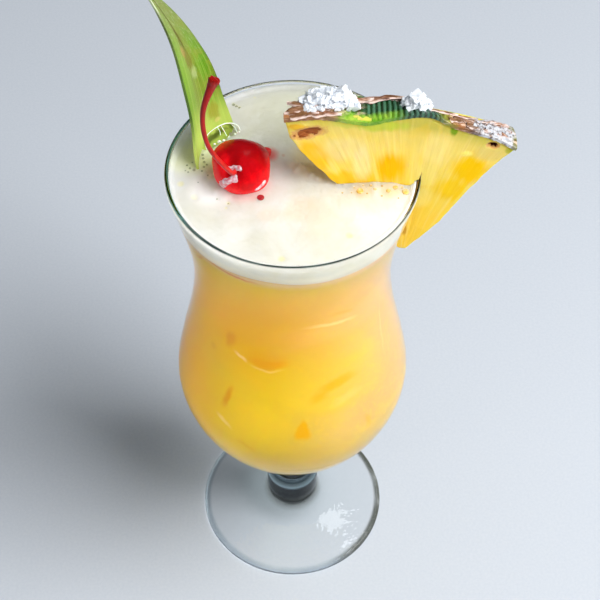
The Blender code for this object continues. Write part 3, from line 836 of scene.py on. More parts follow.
def foamMaterial():
    material, tree, shader = newMaterial(
        "froth",
        {"Roughness": 0.42, "Subsurface Radius": (1.0, 0.97, 0.85),
         "Subsurface Scale": 0.017, "Specular IOR Level": 0.3},
    )
    place = objectPlace(tree)
    cloud = noiseOf(place, 55, 4, 0.55, 0.4)
    body = rampOf(
        cloud,
        [(0.3, colour(206, 203, 186)), (0.5, colour(213, 212, 202)), (0.7, colour(221, 222, 216))],
    )
    for px, py, radius, depth in foam["pits"]:
        away = distanceTo(place, (px * mm, py * mm, foam["level"] * mm))
        spot = ranged(away, radius * 1.3 * mm, radius * 0.4 * mm, 0.0, 0.55)
        body = mixed(spot, body, colour(228, 222, 158))
    # stains, and the painted light and shadow listed with them
    for px, py, reach, tone, strength in foam["stainsAndPaintedLight"]:
        away = distanceTo(place, (px * mm, py * mm, foam["level"] * mm))
        away = plus(away, ranged(cloud, 0.3, 0.7, -0.12 * reach * mm, 0.12 * reach * mm))
        body = mixed(ranged(away, reach * mm, reach * 0.35 * mm, 0.0, strength), body, tone)
    # painted light: the foam just above the drink, which gets dimmer light, is painted paler, most on the
    # left
    x, y, height = parts(place)
    paintedLift = times(ranged(height, 0.1940, 0.1895), ranged(x, 0.024, 0.0, 0.2, 1.0))
    body = mixed(paintedLift, body, colour(252, 244, 218))
    # thinner and yellower low down at the wall, where the drink shows through, and painted lighter there to
    # lift the dark seam above the drink
    low = ranged(height, 0.1897, 0.1878, 0.0, 0.8)
    body = mixed(low, body, colour(255, 218, 164))
    feed(shader.inputs["Subsurface Weight"], ranged(height, 0.1885, 0.1925, 0.4, 0.8))
    feed(shader.inputs["Base Color"], body)
    tiny = addNode(tree, "TexVoronoi", {"Vector": place, "Scale": 2400.0}).outputs["Distance"]
    dots = ranged(tiny, 0.0, 0.45)
    grain = noiseOf(place, 420, 4, 0.6)
    both = plus(times(dots, 0.4), grain)
    addBump(shader, both, 0.00025, 0.5)
    return material


def makeFoam():
    reach = drink["intoWall"]
    bottom = drink["level"]
    heights = [bottom + (foam["level"] - bottom) * step / 10 for step in range(10)]
    line = [(innerRadius(height) + reach, height) for height in heights]
    edge = innerRadius(foam["level"])
    rings = int(edge / foam["ringStep"])
    line += [(edge + foam["underRim"], foam["level"] - 0.2), (edge + foam["underRim"], foam["level"])]
    line += [(edge * (1 - step / rings), foam["level"]) for step in range(1, rings)]
    piece = turnedPiece("froth", [(radius * mm, height * mm) for radius, height in line], foam["sides"])
    for vert in piece.data.vertices:
        x, y, z = vert.co / mm
        if z > foam["level"] - 0.1:
            vert.co.z = foamHeight(x, y) * mm
            # the wall leans out, and the foam on it with it
            out = math.hypot(x, y)
            lean = (innerRadius(vert.co.z / mm) - edge) * bump01(edge - out, 1.1)
            vert.co.x *= 1 + lean / out
            vert.co.y *= 1 + lean / out
        else:
            low = bump01(z - bottom, 6.0)
            vert.co.z += (drinkTop(x, y) - bottom - 0.02) * low * mm
    smoothRound(piece)
    handOver(piece, foamMaterial(), "foam", "foam")


# Cherry

def cherryMaterial():
    material, tree, shader = newMaterial(
        "cherrySkin",
        {"Roughness": 0.26, "Subsurface Weight": 0.5, "Subsurface Radius": (1.0, 0.08, 0.06),
         "Subsurface Scale": 0.006, "Specular IOR Level": 0.14, "Specular Tint": (1.0, 0.3, 0.3, 1),
         "Coat Weight": 0.05, "Coat Roughness": 0.05},
    )
    place = objectPlace(tree)
    mottle = noiseOf(place, 210, 4, 0.6)
    x, y, height = parts(place)
    # painted light and shade: the skin is darker towards the top, where the lamp falls strongest, and lighter
    # on its shaded left; the mottle is its own
    rising = ranged(height, 0.199, 0.2112, smooth=False)
    rising = plus(rising, ranged(mottle, 0.3, 0.7, -0.2, 0.2))
    rising = plus(rising, ranged(x, -0.0225, -0.0160, -0.7, 0.0))
    skin = rampOf(
        rising,
        [(0.0, colour(255, 28, 36)), (0.34, colour(218, 12, 22)),
         (0.66, colour(172, 8, 16)), (1.0, colour(144, 6, 12))],
    )
    dimple = cherry["centre"] + cherry["dimpleDirection"] * (cherry["radius"] - 1.2)
    away = distanceTo(place, dimple * mm)
    skin = mixed(ranged(away, 0.0032, 0.0012, 0.0, 0.35), skin, colour(160, 8, 16))
    feed(shader.inputs["Base Color"], skin)
    addBump(shader, noiseOf(place, 300, 3, 0.6), 0.00015, 0.4)
    return material


def cherrySurface(direction):
    # a place on the cherry's skin, mm
    offAxis = direction.angle(cherry["dimpleDirection"]) * cherry["radius"]
    skin = cherry["radius"] - cherry["dimpleDepth"] * math.exp(-2 * (offAxis / cherry["dimpleRadius"]) ** 2)
    for towards, reach, swell in cherry["swells"]:
        skin += swell * bump01(math.degrees(direction.angle(towards)), reach)
    skin += 0.14 * noise.noise(direction * 2.3) - 0.15
    return cherry["centre"] + direction * skin


def makeCherry():
    bpy.ops.mesh.primitive_uv_sphere_add(segments=112, ring_count=72, radius=mm)
    piece = takeNew("cherryFruit")
    turn = Vector((0, 0, 1)).rotation_difference(cherry["dimpleDirection"])
    for vert in piece.data.vertices:
        vert.co = cherrySurface(turn @ vert.co.normalized()) * mm
    smoothRound(piece, 80)
    handOver(piece, cherryMaterial(), "cherry", "cherry")


def clingMaterial():
    material, tree, shader = newMaterial(
        "clingingFoamAndHighlights",
        {"Roughness": 0.3, "Subsurface Weight": 0.6, "Subsurface Radius": (1.0, 0.6, 0.5),
         "Subsurface Scale": 0.002, "Coat Weight": 0.4},
    )
    spots = noiseOf(objectPlace(tree), 900, 3)
    # pink and white foam, partly a painted highlight
    tone = rampOf(spots, [(0.42, colour(240, 120, 132)), (0.62, colour(253, 214, 218))])
    feed(shader.inputs["Base Color"], tone)
    addBump(shader, spots, 0.0003, 0.5)
    return material


def makeCling():
    # a second skin over the cherry, kept only where foam clings to it and where it stands in for painted
    # highlights
    bpy.ops.mesh.primitive_uv_sphere_add(segments=240, ring_count=150, radius=mm)
    piece = takeNew("cherryFoamAndHighlights")
    turn = Vector((0, 0, 1)).rotation_difference(cherry["dimpleDirection"])
    dabsAndHighlights = [(vectors(points), halfWidth, rise) for points, halfWidth, rise in cherry["dabsAndHighlights"]]
    spare = set()
    for vert in piece.data.vertices:
        direction = turn @ vert.co.normalized()
        place = cherrySurface(direction)
        ragged = 1 + 0.5 * noise.noise(place * 0.9)
        cover = max(
            bump01(toLine(place, points), halfWidth * 1.7 * ragged) * rise for points, halfWidth, rise in dabsAndHighlights
        )
        if cover <= 0:
            spare.add(vert.index)
        vert.co = (place + direction * (cover - 0.12)) * mm
    with editing(piece):
        bpy.ops.mesh.select_all(action="DESELECT")
    for vert in piece.data.vertices:
        vert.select = vert.index in spare
    bpy.ops.object.mode_set(mode="EDIT")
    bpy.ops.mesh.delete(type="VERT")
    bpy.ops.object.mode_set(mode="OBJECT")
    addModifier(piece, "SOLIDIFY", thickness=0.25 * mm, offset=-1)
    applyModifiers(piece)
    smoothRound(piece, 60)
    handOver(piece, clingMaterial(), "foam")


# Cherry stem

stem = {
    "radius": 0.72,
    "bends": [(-24.8, -10.2, 220.5), (-25.9, -8.6, 232.5)],
    "tip": (-22.2, -5.8, 243.2),
    "lean": (-0.9, -0.2, 1.5),
    "baseFlare": 0.35,
    "tipFlare": 1.5,
    "torn": 0.7,
}


def stemMaterial():
    material, tree, shader = newMaterial("cherryStem", {"Roughness": 0.32, "Specular IOR Level": 0.35})
    place = objectPlace(tree)
    height = parts(place)[2]
    body = rampOf(
        ranged(height, 0.205, 0.2445, smooth=False),
        [(0.0, colour(208, 38, 34)), (0.3, colour(186, 28, 22)),
         (0.6, colour(158, 14, 10)), (1.0, colour(150, 18, 12))],
    )
    streak = noiseOf(stretched(place, (900, 900, 140)), 1.0, 3, 0.6)
    body = mixed(ranged(streak, 0.4, 0.75, 0.0, 0.6), body, colour(96, 10, 8))
    feed(shader.inputs["Base Color"], body)
    addBump(shader, streak, 0.00015, 0.6)
    return material


def makeStem():
    direction = cherry["dimpleDirection"]
    start = cherry["centre"] + direction * (cherry["radius"] * 0.97 - cherry["dimpleDepth"] - 0.4)
    foot = start + direction * 2.4 + Vector(stem["lean"])
    route = [start, foot, *vectors(stem["bends"]), Vector(stem["tip"])]

    def swell(share):
        knuckle = 0.06 * noise.noise(Vector((share * 9, 3, 1)))
        return 0.95 + knuckle + stem["baseFlare"] * (1 - share) ** 4 + stem["tipFlare"] * share**7

    piece = tubePiece("cherryStalk", smoothLine(route, 12), stem["radius"], swell)
    # torn off unevenly at the tip
    for vert in piece.data.vertices:
        atTip = bump01(stem["tip"][2] - vert.co.z / mm, 2.5)
        vert.co += noise.noise_vector(vert.co / mm * 1.3) * stem["torn"] * atTip * mm
        vert.co.z = min(vert.co.z, (stem["tip"][2] + 1.2) * mm)
    smoothRound(piece, 50)
    handOver(piece, stemMaterial(), "cherry_stem", "cherry_stem")


# Leaf

leaf = {
    # both margins and the channel between them, as cubic curves from base to tip, mm
    "left": [(-25.7, -4.6, 176), (-32.4, 1.4, 202), (-27.8, 11.0, 234.2), (-47.4, 34.4, 245)],
    "channel": [(-24.3, 12.0, 176), (-31.4, 12.6, 202.6), (-24.1, 15.7, 232.8), (-47.5, 34.5, 245)],
    "right": [(-13.0, 20.3, 176), (-24.7, 19.9, 206.7), (-17.9, 23.3, 227.4), (-47.6, 34.6, 245)],
    "thickness": 0.8,
    "tipShare": 0.985,
    "wave": 0.35,
    "across": 36,
    "along": 150,
    # colours from the left margin to the right one
    "tones": [
        (0.0, colour(58, 84, 34)), (0.025, colour(100, 138, 34)), (0.14, colour(104, 142, 34)),
        (0.27, colour(124, 154, 62)), (0.36, colour(116, 144, 56)), (0.46, colour(112, 128, 58)),
        (0.6, colour(106, 126, 34)), (0.78, colour(88, 130, 14)), (0.96, colour(78, 122, 14)),
        (1.0, colour(44, 68, 28)),
    ],
    # spots: place across and up (0 to 1), half sizes, colour, strength
    "spots": [
        (0.42, 0.70, 0.07, 0.025, colour(160, 132, 78), 0.7),
        (0.52, 0.66, 0.13, 0.06, colour(112, 100, 38), 0.6),
        (0.50, 0.76, 0.10, 0.05, colour(98, 92, 36), 0.5),
        (0.56, 0.60, 0.10, 0.035, colour(178, 190, 136), 0.4),
        (0.62, 0.45, 0.06, 0.02, colour(198, 206, 150), 0.6),
        (0.78, 0.38, 0.12, 0.05, colour(146, 138, 36), 0.7),
        (0.80, 0.33, 0.05, 0.012, colour(214, 202, 120), 0.6),
        (0.72, 0.262, 0.30, 0.028, colour(64, 80, 18), 0.85),
        (0.07, 0.92, 0.14, 0.09, colour(206, 216, 178), 0.85),
    ],
}


def cubicPoint(points, t):
    weights = ((1 - t) ** 3, 3 * (1 - t) ** 2 * t, 3 * (1 - t) * t**2, t**3)
    return sum((Vector(point) * weight for point, weight in zip(points, weights)), Vector((0, 0, 0)))


def leafPoint(across, up):
    left, channel, right = (cubicPoint(leaf[name], up) for name in ("left", "channel", "right"))
    place = left * (across * (across - 1) / 2) + channel * (1 - across * across)
    place += right * (across * (across + 1) / 2)
    place.x += math.sin(up * 21 + across * 2) * leaf["wave"] * across * across * (1 - up)
    return place


def leafMaterial():
    material, tree, shader = newMaterial(
        "leafSkin",
        {"Roughness": 0.5, "Subsurface Weight": 0.15, "Subsurface Radius": (0.5, 1.0, 0.2),
         "Subsurface Scale": 0.0015, "Specular IOR Level": 0.3},
    )
    place = uvPlace(tree)
    across, up = parts(place)[0:2]
    veins = noiseOf(stretched(place, (44, 1.3, 1)), 1.0, 4, 0.6)
    blotch = noiseOf(stretched(place, (4, 9, 1)), 1.0, 4, 0.6, 0.6)
    body = rampOf(across, leaf["tones"])
    body = mixed(ranged(veins, 0.42, 0.7, 0.0, 0.4), body, colour(168, 196, 92))
    body = mixed(ranged(veins, 0.5, 0.3, 0.0, 0.35), body, colour(84, 116, 22))
    inner = ranged(across, 0.38, 0.6)
    stain = times(ranged(blotch, 0.46, 0.66, 0.0, 0.75), inner)
    body = mixed(stain, body, colour(126, 134, 44))
    # paler towards the tip, with a dark crease down from it
    body = mixed(ranged(up, 0.6, 0.92, 0.0, 0.75), body, colour(118, 126, 76))
    down = noiseOf(stretched(place, (26, 40, 1)), 1.0, 4, 0.7)
    down = times(ranged(down, 0.5, 0.68, 0.0, 0.35), ranged(up, 0.55, 0.85))
    body = mixed(down, body, colour(190, 198, 158))
    body = mixed(ranged(up, 0.5, 0.3, 0.0, 0.75), body, colour(200, 222, 104))  # fresher green low down, also painted light that lifts the shade there
    line = sums("MULTIPLY_ADD", up, -0.71, 1.027)
    away = absolute(minus(across, line))
    crease = times(ranged(away, 0.035, 0.008), ranged(up, 0.67, 0.74))
    body = mixed(times(crease, 0.85), body, colour(92, 92, 36))
    for spotAcross, spotUp, wide, tall, tone, strength in leaf["spots"]:
        spot = patchAway(place, (spotAcross, spotUp, 0), (wide, tall, 1))
        spot = plus(spot, ranged(blotch, 0.3, 0.7, -0.3, 0.3))
        body = mixed(ranged(spot, 1.1, 0.4, 0.0, strength), body, tone)
    feed(shader.inputs["Base Color"], body)
    addBump(shader, minus(veins, times(crease, 1.5)), 0.0003, 0.6)
    return material


def makeLeaf():
    bpy.ops.mesh.primitive_grid_add(x_subdivisions=leaf["across"], y_subdivisions=leaf["along"], size=2)
    piece = takeNew("leafBlade")
    for vert in piece.data.vertices:
        across, up = vert.co.x, (vert.co.y + 1) / 2 * leaf["tipShare"]
        vert.co = leafPoint(across, up) * mm
    addModifier(piece, "SOLIDIFY", thickness=leaf["thickness"] * mm, offset=0)
    applyModifiers(piece)
    faceOutward(piece)
    smoothRound(piece, 50)
    handOver(piece, leafMaterial(), "leaf", "pineapple_leaf")


# Pineapple wedge

wedge = {
    "front": -5.0,
    "back": 4.5,
    # corners in the XZ plane, mm
    "apex": Vector((35.6, 166.0)),
    "left": Vector((-2.6, 226.6)),
    "heel": Vector((-1.0, 218.4)),
    "right": Vector((67.2, 214.6)),
    "crown": 4.2,
    "rightWave": 0.9,
    "rightBulge": 0.4,
    "leftWave": 0.5,
    "blunt": 0.03,
    # the slit follows the glass wall between two heights, then ends above the rim: (radius, height)
    "slitReach": (165, 200),
    "slitRoom": 0.1,
    "slitEnd": [(39.2, 200.9), (39.9, 203.9), (39.8, 200.9)],
    "cornerPlace": (1.4, 0.6),
    "inset": 0.15,
    "edgeRound": 0.5,
    "voxel": 0.42,
    # eyes and holes in the cut face: x, z, half length, half height, turn in degrees, depth
    "eyes": [
        (4.6, 220.8, 4.6, 2.0, 17, 1.3),
        (60.0, 216.1, 1.8, 1.1, -14, 2.4),
        (52.3, 212.4, 1.6, 1.0, 0, -0.25),
        (1.6, 223.2, 3.4, 1.0, 24, -0.6),
    ],
    # colour patches of the cut face: x, z, half width, half height, colour, strength
    "patches": [
        (6.0, 210.5, 7.0, 7.0, colour(255, 194, 22), 0.85),
        (17.0, 200.5, 9.0, 4.2, colour(255, 196, 20), 0.85),
        (16.0, 214.0, 8.0, 5.5, colour(244, 220, 142), 0.75),
        (21.0, 207.5, 3.0, 8.0, colour(255, 228, 158), 0.7),
        (29.8, 206.0, 4.6, 7.4, colour(255, 190, 0), 1.0),
        (43.5, 214.0, 5.0, 7.5, colour(255, 226, 134), 0.75),
        (41.0, 203.0, 3.4, 6.0, colour(252, 222, 120), 0.7),
        (54.2, 205.0, 6.6, 7.4, colour(255, 200, 0), 1.0),
        (49.5, 196.5, 5.0, 6.0, colour(255, 204, 4), 0.9), (33.0, 197.5, 9.0, 1.6, colour(246, 190, 30), 0.5),
        (35.5, 177.0, 1.2, 3.0, colour(172, 100, 20), 0.6),
        (60.0, 212.5, 5.5, 3.6, colour(230, 204, 116), 0.7),
        (52.3, 212.4, 2.0, 1.3, colour(252, 232, 120), 0.9),
        # the flesh's golden colour here, also painted light where the flesh low down stands in shade
        (38.5, 186.0, 2.4, 12.0, colour(250, 206, 70), 0.6),
        (40.0, 193.0, 3.2, 5.0, colour(252, 226, 130), 0.5),
        (1.6, 223.4, 3.6, 1.1, colour(224, 172, 44), 0.9),
        (26.0, 224.0, 8.0, 2.4, colour(196, 208, 70), 0.85),
        (16.0, 225.0, 5.0, 2.0, colour(206, 206, 86), 0.7),
        (48.0, 222.3, 1.2, 2.2, colour(112, 156, 20), 0.9),
        (65.5, 213.8, 1.6, 1.2, colour(170, 176, 40), 0.8),
    ],
}


def rindPoint(share):
    chord = wedge["right"] - wedge["left"]
    outwards = Vector((-chord.y, chord.x)).normalized()
    return wedge["left"] + chord * share + outwards * wedge["crown"] * 4 * share * (1 - share)


def wedgeOutline(perSide=40):
    points = [rindPoint(step / perSide) for step in range(perSide + 1)]
    rightRun = wedge["apex"] - wedge["right"]
    rightOut = Vector((-rightRun.y, rightRun.x)).normalized()
    for step in range(1, perSide + 1):
        share = step / perSide * (1 - wedge["blunt"])
        wave = math.sin(share * math.pi) * wedge["rightBulge"]
        wave -= math.sin(share * fullTurn) * wedge["rightWave"]
        wave += 0.4 * noise.noise(Vector((share * 14, 5, 0)))
        points.append(wedge["right"] + rightRun * share + rightOut * wave)
    leftRun = wedge["heel"] - wedge["apex"]
    leftOut = Vector((-leftRun.y, leftRun.x)).normalized()
    for step in range(perSide):
        share = wedge["blunt"] + step / (perSide - 1) * (1 - wedge["blunt"])
        wave = math.sin(share * 3 * math.pi) * wedge["leftWave"]
        wave += 0.4 * noise.noise(Vector((share * 16, 9, 0)))
        points.append(wedge["apex"] + leftRun * share + leftOut * wave)
    middle = sum(points, Vector((0, 0))) / len(points)
    return [point - (point - middle).normalized() * wedge["inset"] for point in points]


def cutAway(piece, cutter):
    addModifier(piece, "BOOLEAN", operation="DIFFERENCE", solver="EXACT", object=cutter)
    applyModifiers(piece)
    bpy.data.objects.remove(cutter)


def slitCutter():
    # the glass wall with a hair of room, running out above the rim where the knife stopped
    low, high = wedge["slitReach"]
    heights = [low + (high - low) * step / 14 for step in range(15)]
    room = wedge["slitRoom"]
    line = [(outerRadius(height) - glass["wall"] - room, height) for height in heights]
    line += wedge["slitEnd"]
    line += [(outerRadius(height) + room, height) for height in reversed(heights)]
    radius, height = line[0]
    bpy.ops.mesh.primitive_circle_add(vertices=128, radius=radius * mm, location=(0, 0, height * mm))
    cutter = takeNew("slitCutter")
    settlePlace(cutter)
    with editing(cutter, "EDGE"):
        growRings(line + line[:1], bpy.ops.mesh.extrude_edges_move, mm)
    faceOutward(cutter, seam * 2)
    return cutter


def fibreRelief(x, z):
    # cut fibres fan out from the slice's point
    fromApex = Vector((x, z)) - wedge["apex"]
    angle = math.atan2(fromApex.x, fromApex.y)
    far = fromApex.length
    ridges = noise.noise(Vector((angle * 26, far * 0.045, 0.3)))
    ridges += 0.6 * noise.noise(Vector((angle * 60, far * 0.1, 4)))
    return 0.11 * ridges + 0.12 * noise.noise(Vector((x * 0.25, z * 0.25, 8)))


def fleshMaterial():
    material, tree, shader = newMaterial(
        "pineappleFlesh",
        {"Subsurface Weight": 0.45, "Subsurface Radius": (1.0, 0.7, 0.12), "Subsurface Scale": 0.004,
         "Specular IOR Level": 0.06},
    )
    fan = uvPlace(tree)  # u runs round the fan, v from the point to the rind
    angle, far = parts(fan)[0:2]
    place = objectPlace(tree)
    fibres = noiseOf(stretched(fan, (20, 1.1, 1)), 1.0, 3, 0.5)
    fine = noiseOf(stretched(fan, (90, 3, 1)), 1.0, 3, 0.55)
    cells = noiseOf(stretched(place, (120, 120, 70)), 1.0, 3, 0.5, 0.5)
    body = rampOf(
        far,
        [(0.0, colour(252, 208, 84)), (0.35, colour(255, 210, 66)), (0.62, colour(255, 214, 82)),
         (0.82, colour(253, 219, 108)), (0.94, colour(238, 212, 106)), (1.0, colour(208, 192, 82))],
    )
    body = mixed(ranged(fibres, 0.46, 0.75, 0.0, 0.4), body, colour(255, 232, 156))
    body = mixed(ranged(cells, 0.54, 0.72, 0.0, 0.25), body, colour(252, 204, 40))
    for x, z, width, height, tone, strength in wedge["patches"]:
        away = patchAway(place, (x * mm, 0, z * mm), (width * mm, 0.05, height * mm))
        away = plus(away, ranged(fibres, 0.3, 0.7, -0.2, 0.2))
        body = mixed(ranged(away, 1.25, 0.55, 0.0, strength), body, tone)
    body = mixed(ranged(fine, 0.5, 0.3, 0.0, 0.09), body, colour(240, 188, 30))
    for (x, z, halfLength, halfHeight, turn, depth), hole in zip(wedge["eyes"], (False, True)):
        away = patchAway(
            place, (x * mm, wedge["front"] * mm, z * mm), (halfLength * mm, 0.005, halfHeight * mm),
            (0, -math.radians(turn), 0),
        )
        away = plus(away, ranged(noiseOf(place, 600, 3), 0.3, 0.7, -0.2, 0.2))
        body = mixed(ranged(away, 1.5, 1.0, 0.0, 0.85), body, colour(214, 158, 100))
        grain = noiseOf(stretched(place, (260, 260, 1100)), 1.0, 4, 0.7)
        brown = rampOf(
            grain, [(0.35, colour(112, 52, 22)), (0.6, colour(178, 104, 58)), (0.8, colour(220, 160, 110))]
        )
        body = mixed(ranged(away, 0.95, 0.7), body, colour(60, 18, 8) if hole else brown)
    feed(shader.inputs["Base Color"], body)
    feed(shader.inputs["Roughness"], ranged(cells, 0.3, 0.7, 0.3, 0.5))
    wet = plus(sums("MULTIPLY_ADD", fine, 0.6, fibres), times(noiseOf(place, 900, 3), 0.3))
    addBump(shader, wet, 0.0003, 0.5)
    return material


def fleshBlank(halfDepth):
    # the slice's outline as a slab with rounded edges, thinned at its left end
    data = bpy.data.curves.new("fruitFlesh", "CURVE")
    data.dimensions = "2D"
    data.fill_mode = "BOTH"
    data.extrude = (halfDepth - wedge["edgeRound"]) * mm
    data.bevel_depth = wedge["edgeRound"] * mm
    data.bevel_resolution = 3
    data.offset = -wedge["edgeRound"] * mm
    line = data.splines.new("POLY")
    outline = wedgeOutline()
    line.points.add(len(outline) - 1)
    for point, place in zip(line.points, outline):
        point.co = (place.x * mm, place.y * mm, 0, 1)
    line.use_cyclic_u = True
    piece = bpy.data.objects.new("fruitFlesh", data)
    bpy.context.collection.objects.link(piece)
    middle = (wedge["front"] + wedge["back"]) / 2 * mm
    piece.matrix_world = Matrix.Translation((0, middle, 0)) @ Matrix.Rotation(math.pi / 2, 4, "X")
    makeActive(piece)
    bpy.ops.object.convert(target="MESH")
    piece = takeNew("fruitFlesh")
    settlePlace(piece)
    with editing(piece):
        bpy.ops.mesh.remove_doubles(threshold=seam)
    cutCorner(piece)
    return piece


def alongShare(x):
    # share of the way from the slice's left end to its right end
    return min(max((x - wedge["left"].x) / (wedge["right"].x - wedge["left"].x), 0), 1)


def carveFaces(piece, halfDepth):
    # fibres on both cut faces, and the eyes in the front one
    for vert in piece.data.vertices:
        x, y, z = vert.co / mm
        sideways = min(1.0, abs(y - (wedge["front"] + wedge["back"]) / 2) / halfDepth)
        if sideways < 0.85:
            continue
        out = 1 if y > 0 else -1
        push = fibreRelief(x, z) - 0.1
        # well inside the skin, where that covers the flesh
        share = alongShare(x)
        if z > rindPoint(share).y + rindRise(share * chordLength, out) - 1.6:
            push = min(push, -0.3)
        if out < 0:
            for ex, ez, halfLength, halfHeight, turn, depth in wedge["eyes"]:
                turned = Matrix.Rotation(-math.radians(turn), 2) @ Vector((x - ex, z - ez))
                away = math.hypot(turned.x / halfLength, turned.y / halfHeight)
                push -= depth * bump01(away, 1.25)
        vert.co.y += out * push * mm


def addFan(piece):
    # fan coordinates for the fibres
    centre = wedge["apex"] - Vector((0, 10))
    while piece.data.uv_layers:
        piece.data.uv_layers.remove(piece.data.uv_layers[0])
    fan = piece.data.uv_layers.new(name="fan")
    for loop in piece.data.loops:
        x, y, z = piece.data.vertices[loop.vertex_index].co / mm
        fromCentre = Vector((x, z)) - centre
        edge = rindPoint(alongShare(x))
        angle = math.atan2(fromCentre.x, fromCentre.y)
        fan.data[loop.index].uv = (angle + y * 0.02, fromCentre.length / (edge - centre).length)


def makeFlesh():
    halfDepth = (wedge["back"] - wedge["front"]) / 2
    blank = fleshBlank(halfDepth)
    # the flesh swells up to just under the skin
    top = rindSlab("fleshTop", 120, 16, halfDepth, fleshLift)
    cutCorner(top)
    piece = joinPieces([blank, top], "fruitFlesh")
    piece.data.remesh_voxel_size = wedge["voxel"] * mm
    bpy.ops.object.voxel_remesh()
    addModifier(piece, "SMOOTH", iterations=3, factor=0.5)
    applyModifiers(piece)
    carveFaces(piece, halfDepth)
    cutAway(piece, slitCutter())
    addFan(piece)
    smoothRound(piece, 60)
    handOver(piece, fleshMaterial(), "pineapple", "pineapple_wedge")


# Rind, with its dried scales

rind = {
    "depth": 4.0,
    "endTaper": 0.8,
    # place along it, rise at the front, rise at the back, mm
    "swells": [
        (0.0, 0.6, 0.2), (11.0, 1.2, 1.2), (24.0, -0.6, 0.2), (31.5, 2.2, 1.0), (41.5, 5.6, -1.6),
        (49.0, 3.4, -1.4), (57.0, 2.4, -2.0), (64.0, 1.9, -0.2), (71.0, 0.4, -0.6),
    ],
    # thickness of the skin along it
    "skins": [
        (0.0, 1.4, 0), (12.0, 1.1, 0), (22.0, 0.9, 0), (40.0, 0.8, 0), (52.0, 0.9, 0), (60.0, 0.5, 0),
        (71.0, 0.6, 0),
    ],
    "dome": 0.8,
    "overhang": 0.2,
    "across": 240,
    "over": 44,
    # dried scales: place along, depth from the front, length, width, heading, lift, curl
    "scales": [
        (3.4, 1.0, 6.4, 2.8, 175, 0, 0.0), (6.0, 0.3, 8.0, 2.2, 3, 1, 0.1), (5.6, 2.4, 8.5, 2.8, 6, 2, 0.2),
        (12.0, 0.8, 9.5, 2.2, 3, 1, 0.1), (12.0, 2.8, 9.5, 2.8, 7, 2, 0.2), (4.2, 4.4, 6.5, 3.0, 168, 1, 0.1),
        (9.0, 5.2, 8.5, 3.2, 5, 3, 0.3), (11.0, 7.2, 8.0, 3.2, 172, 2, 0.2), (17.0, 4.2, 8.0, 2.8, 6, 3, 0.3),
        (17.0, 6.8, 8.5, 3.2, 9, 4, 0.4), (22.4, 7.2, 7.5, 3.0, 4, 5, 0.5), (29.6, 8.0, 12.5, 3.2, 2, 6, 0.8),
        (34.4, 8.8, 8.0, 3.0, -6, 5, 0.6), (47.6, 6.6, 8.5, 3.2, -2, 2, 0.3),
        (50.6, 2.6, 5.0, 2.4, 10, 2, 0.2),
        (53.0, 7.2, 10.5, 3.2, -4, 3, 0.4), (54.0, 4.2, 7.5, 2.8, -8, 2, 0.2),
        (58.6, 6.6, 9.5, 3.0, -6, 3, 0.4),
        (57.6, 2.0, 7.5, 2.8, -8, 1, 0.1), (61.6, 4.2, 7.5, 3.0, -10, 2, 0.3),
        (64.0, 7.2, 8.0, 3.0, -8, 3, 0.4),
        (64.8, 2.0, 7.5, 3.2, -12, 1, 0.1), (67.0, 5.0, 6.0, 3.4, -12, 2, 0.3),
    ],
    "scaleThickness": 0.35,
    "scaleLift": 0.25,
    "ribSpacing": 1.5,
    "ribHeight": 0.28,
}

swellLine = smoothLine([Vector(swell) for swell in rind["swells"]], 6)
skinLine = [Vector(skin) for skin in rind["skins"]]
chordLength = (wedge["right"] - wedge["left"]).length


def between(line, along):
    # the values of a line, whose first one is the place along the rind
    along = min(max(along, 0), line[-1].x)
    before, after = next(pair for pair in zip(line, line[1:]) if along <= pair[1].x)
    return before.lerp(after, (along - before.x) / (after.x - before.x))


def rindRise(along, depthShare):
    rises = between(swellLine, along)
    share = (depthShare + 1) / 2
    return rises.y * (1 - share) + rises.z * share + rind["dome"] * (1 - depthShare**2)


def ribMask(along, depthShare):
    # where the fresh green scale with its ribs lies
    return bump01(abs(along - 34.5), 13.5) * bump01(max(depthShare - 0.35, 0), 0.5)


def rindLift(across, depthShare, layer, along):
    skin = between(skinLine, along).y
    top = rindRise(along, depthShare)
    low = top - skin - 0.5 - 0.5 * max(depthShare, 0)
    low += 0.25 * noise.noise(Vector((along * 0.9, 7, depthShare)))
    ribs = min(1, ribMask(along, depthShare) * 1.6)
    drift = 0.8 * noise.noise(Vector((along * 0.2, depthShare, 1)))
    wrinkle = abs(math.sin(along * math.pi / rind["ribSpacing"] + drift))
    crag = 0.75 * noise.fractal(Vector((along * 0.42, depthShare * 2.2, 2)), 0.75, 2.1, 5) - 0.15
    crag = max(crag, -0.6 * skin)
    crag = crag * (1 - 0.75 * ribs) + (wrinkle - 0.5) * rind["ribHeight"] * 2 * ribs
    edge = 1 - max(abs(depthShare), abs(across)) ** 14
    return low + (top + crag * edge - low) * layer


def fleshLift(across, depthShare, layer, along):
    under = -rind["depth"] * (1 - rind["endTaper"] * across**8)
    top = rindRise(along, depthShare) - between(skinLine, along).y
    top -= 0.7 * (1 - max(-depthShare, 0) ** 6)  # clear of the skin's furrows behind the cut face
    return under + (top - under) * layer


def rindSlab(name, acrossCount, overCount, halfDepth, lift):
    # a thick strip that follows the rind, five layers deep
    bpy.ops.mesh.primitive_grid_add(x_subdivisions=acrossCount, y_subdivisions=overCount, size=2)
    piece = takeNew(name)
    with editing(piece, "FACE"):
        for layer in range(5):
            bpy.ops.mesh.extrude_region_move(TRANSFORM_OT_translate={"value": (0, 0, 0.4)})
    middle = (wedge["back"] + wedge["front"]) / 2
    for vert in piece.data.vertices:
        across, depthShare, layer = vert.co.x, vert.co.y, vert.co.z / 2
        along = (across + 1) / 2 * chordLength
        place, _, outwards = rindFrame(along)
        place = place + outwards * lift(across, depthShare, layer, along)
        vert.co = Vector((place.x, middle + depthShare * halfDepth, place.y)) * mm
    faceOutward(piece)
    return piece


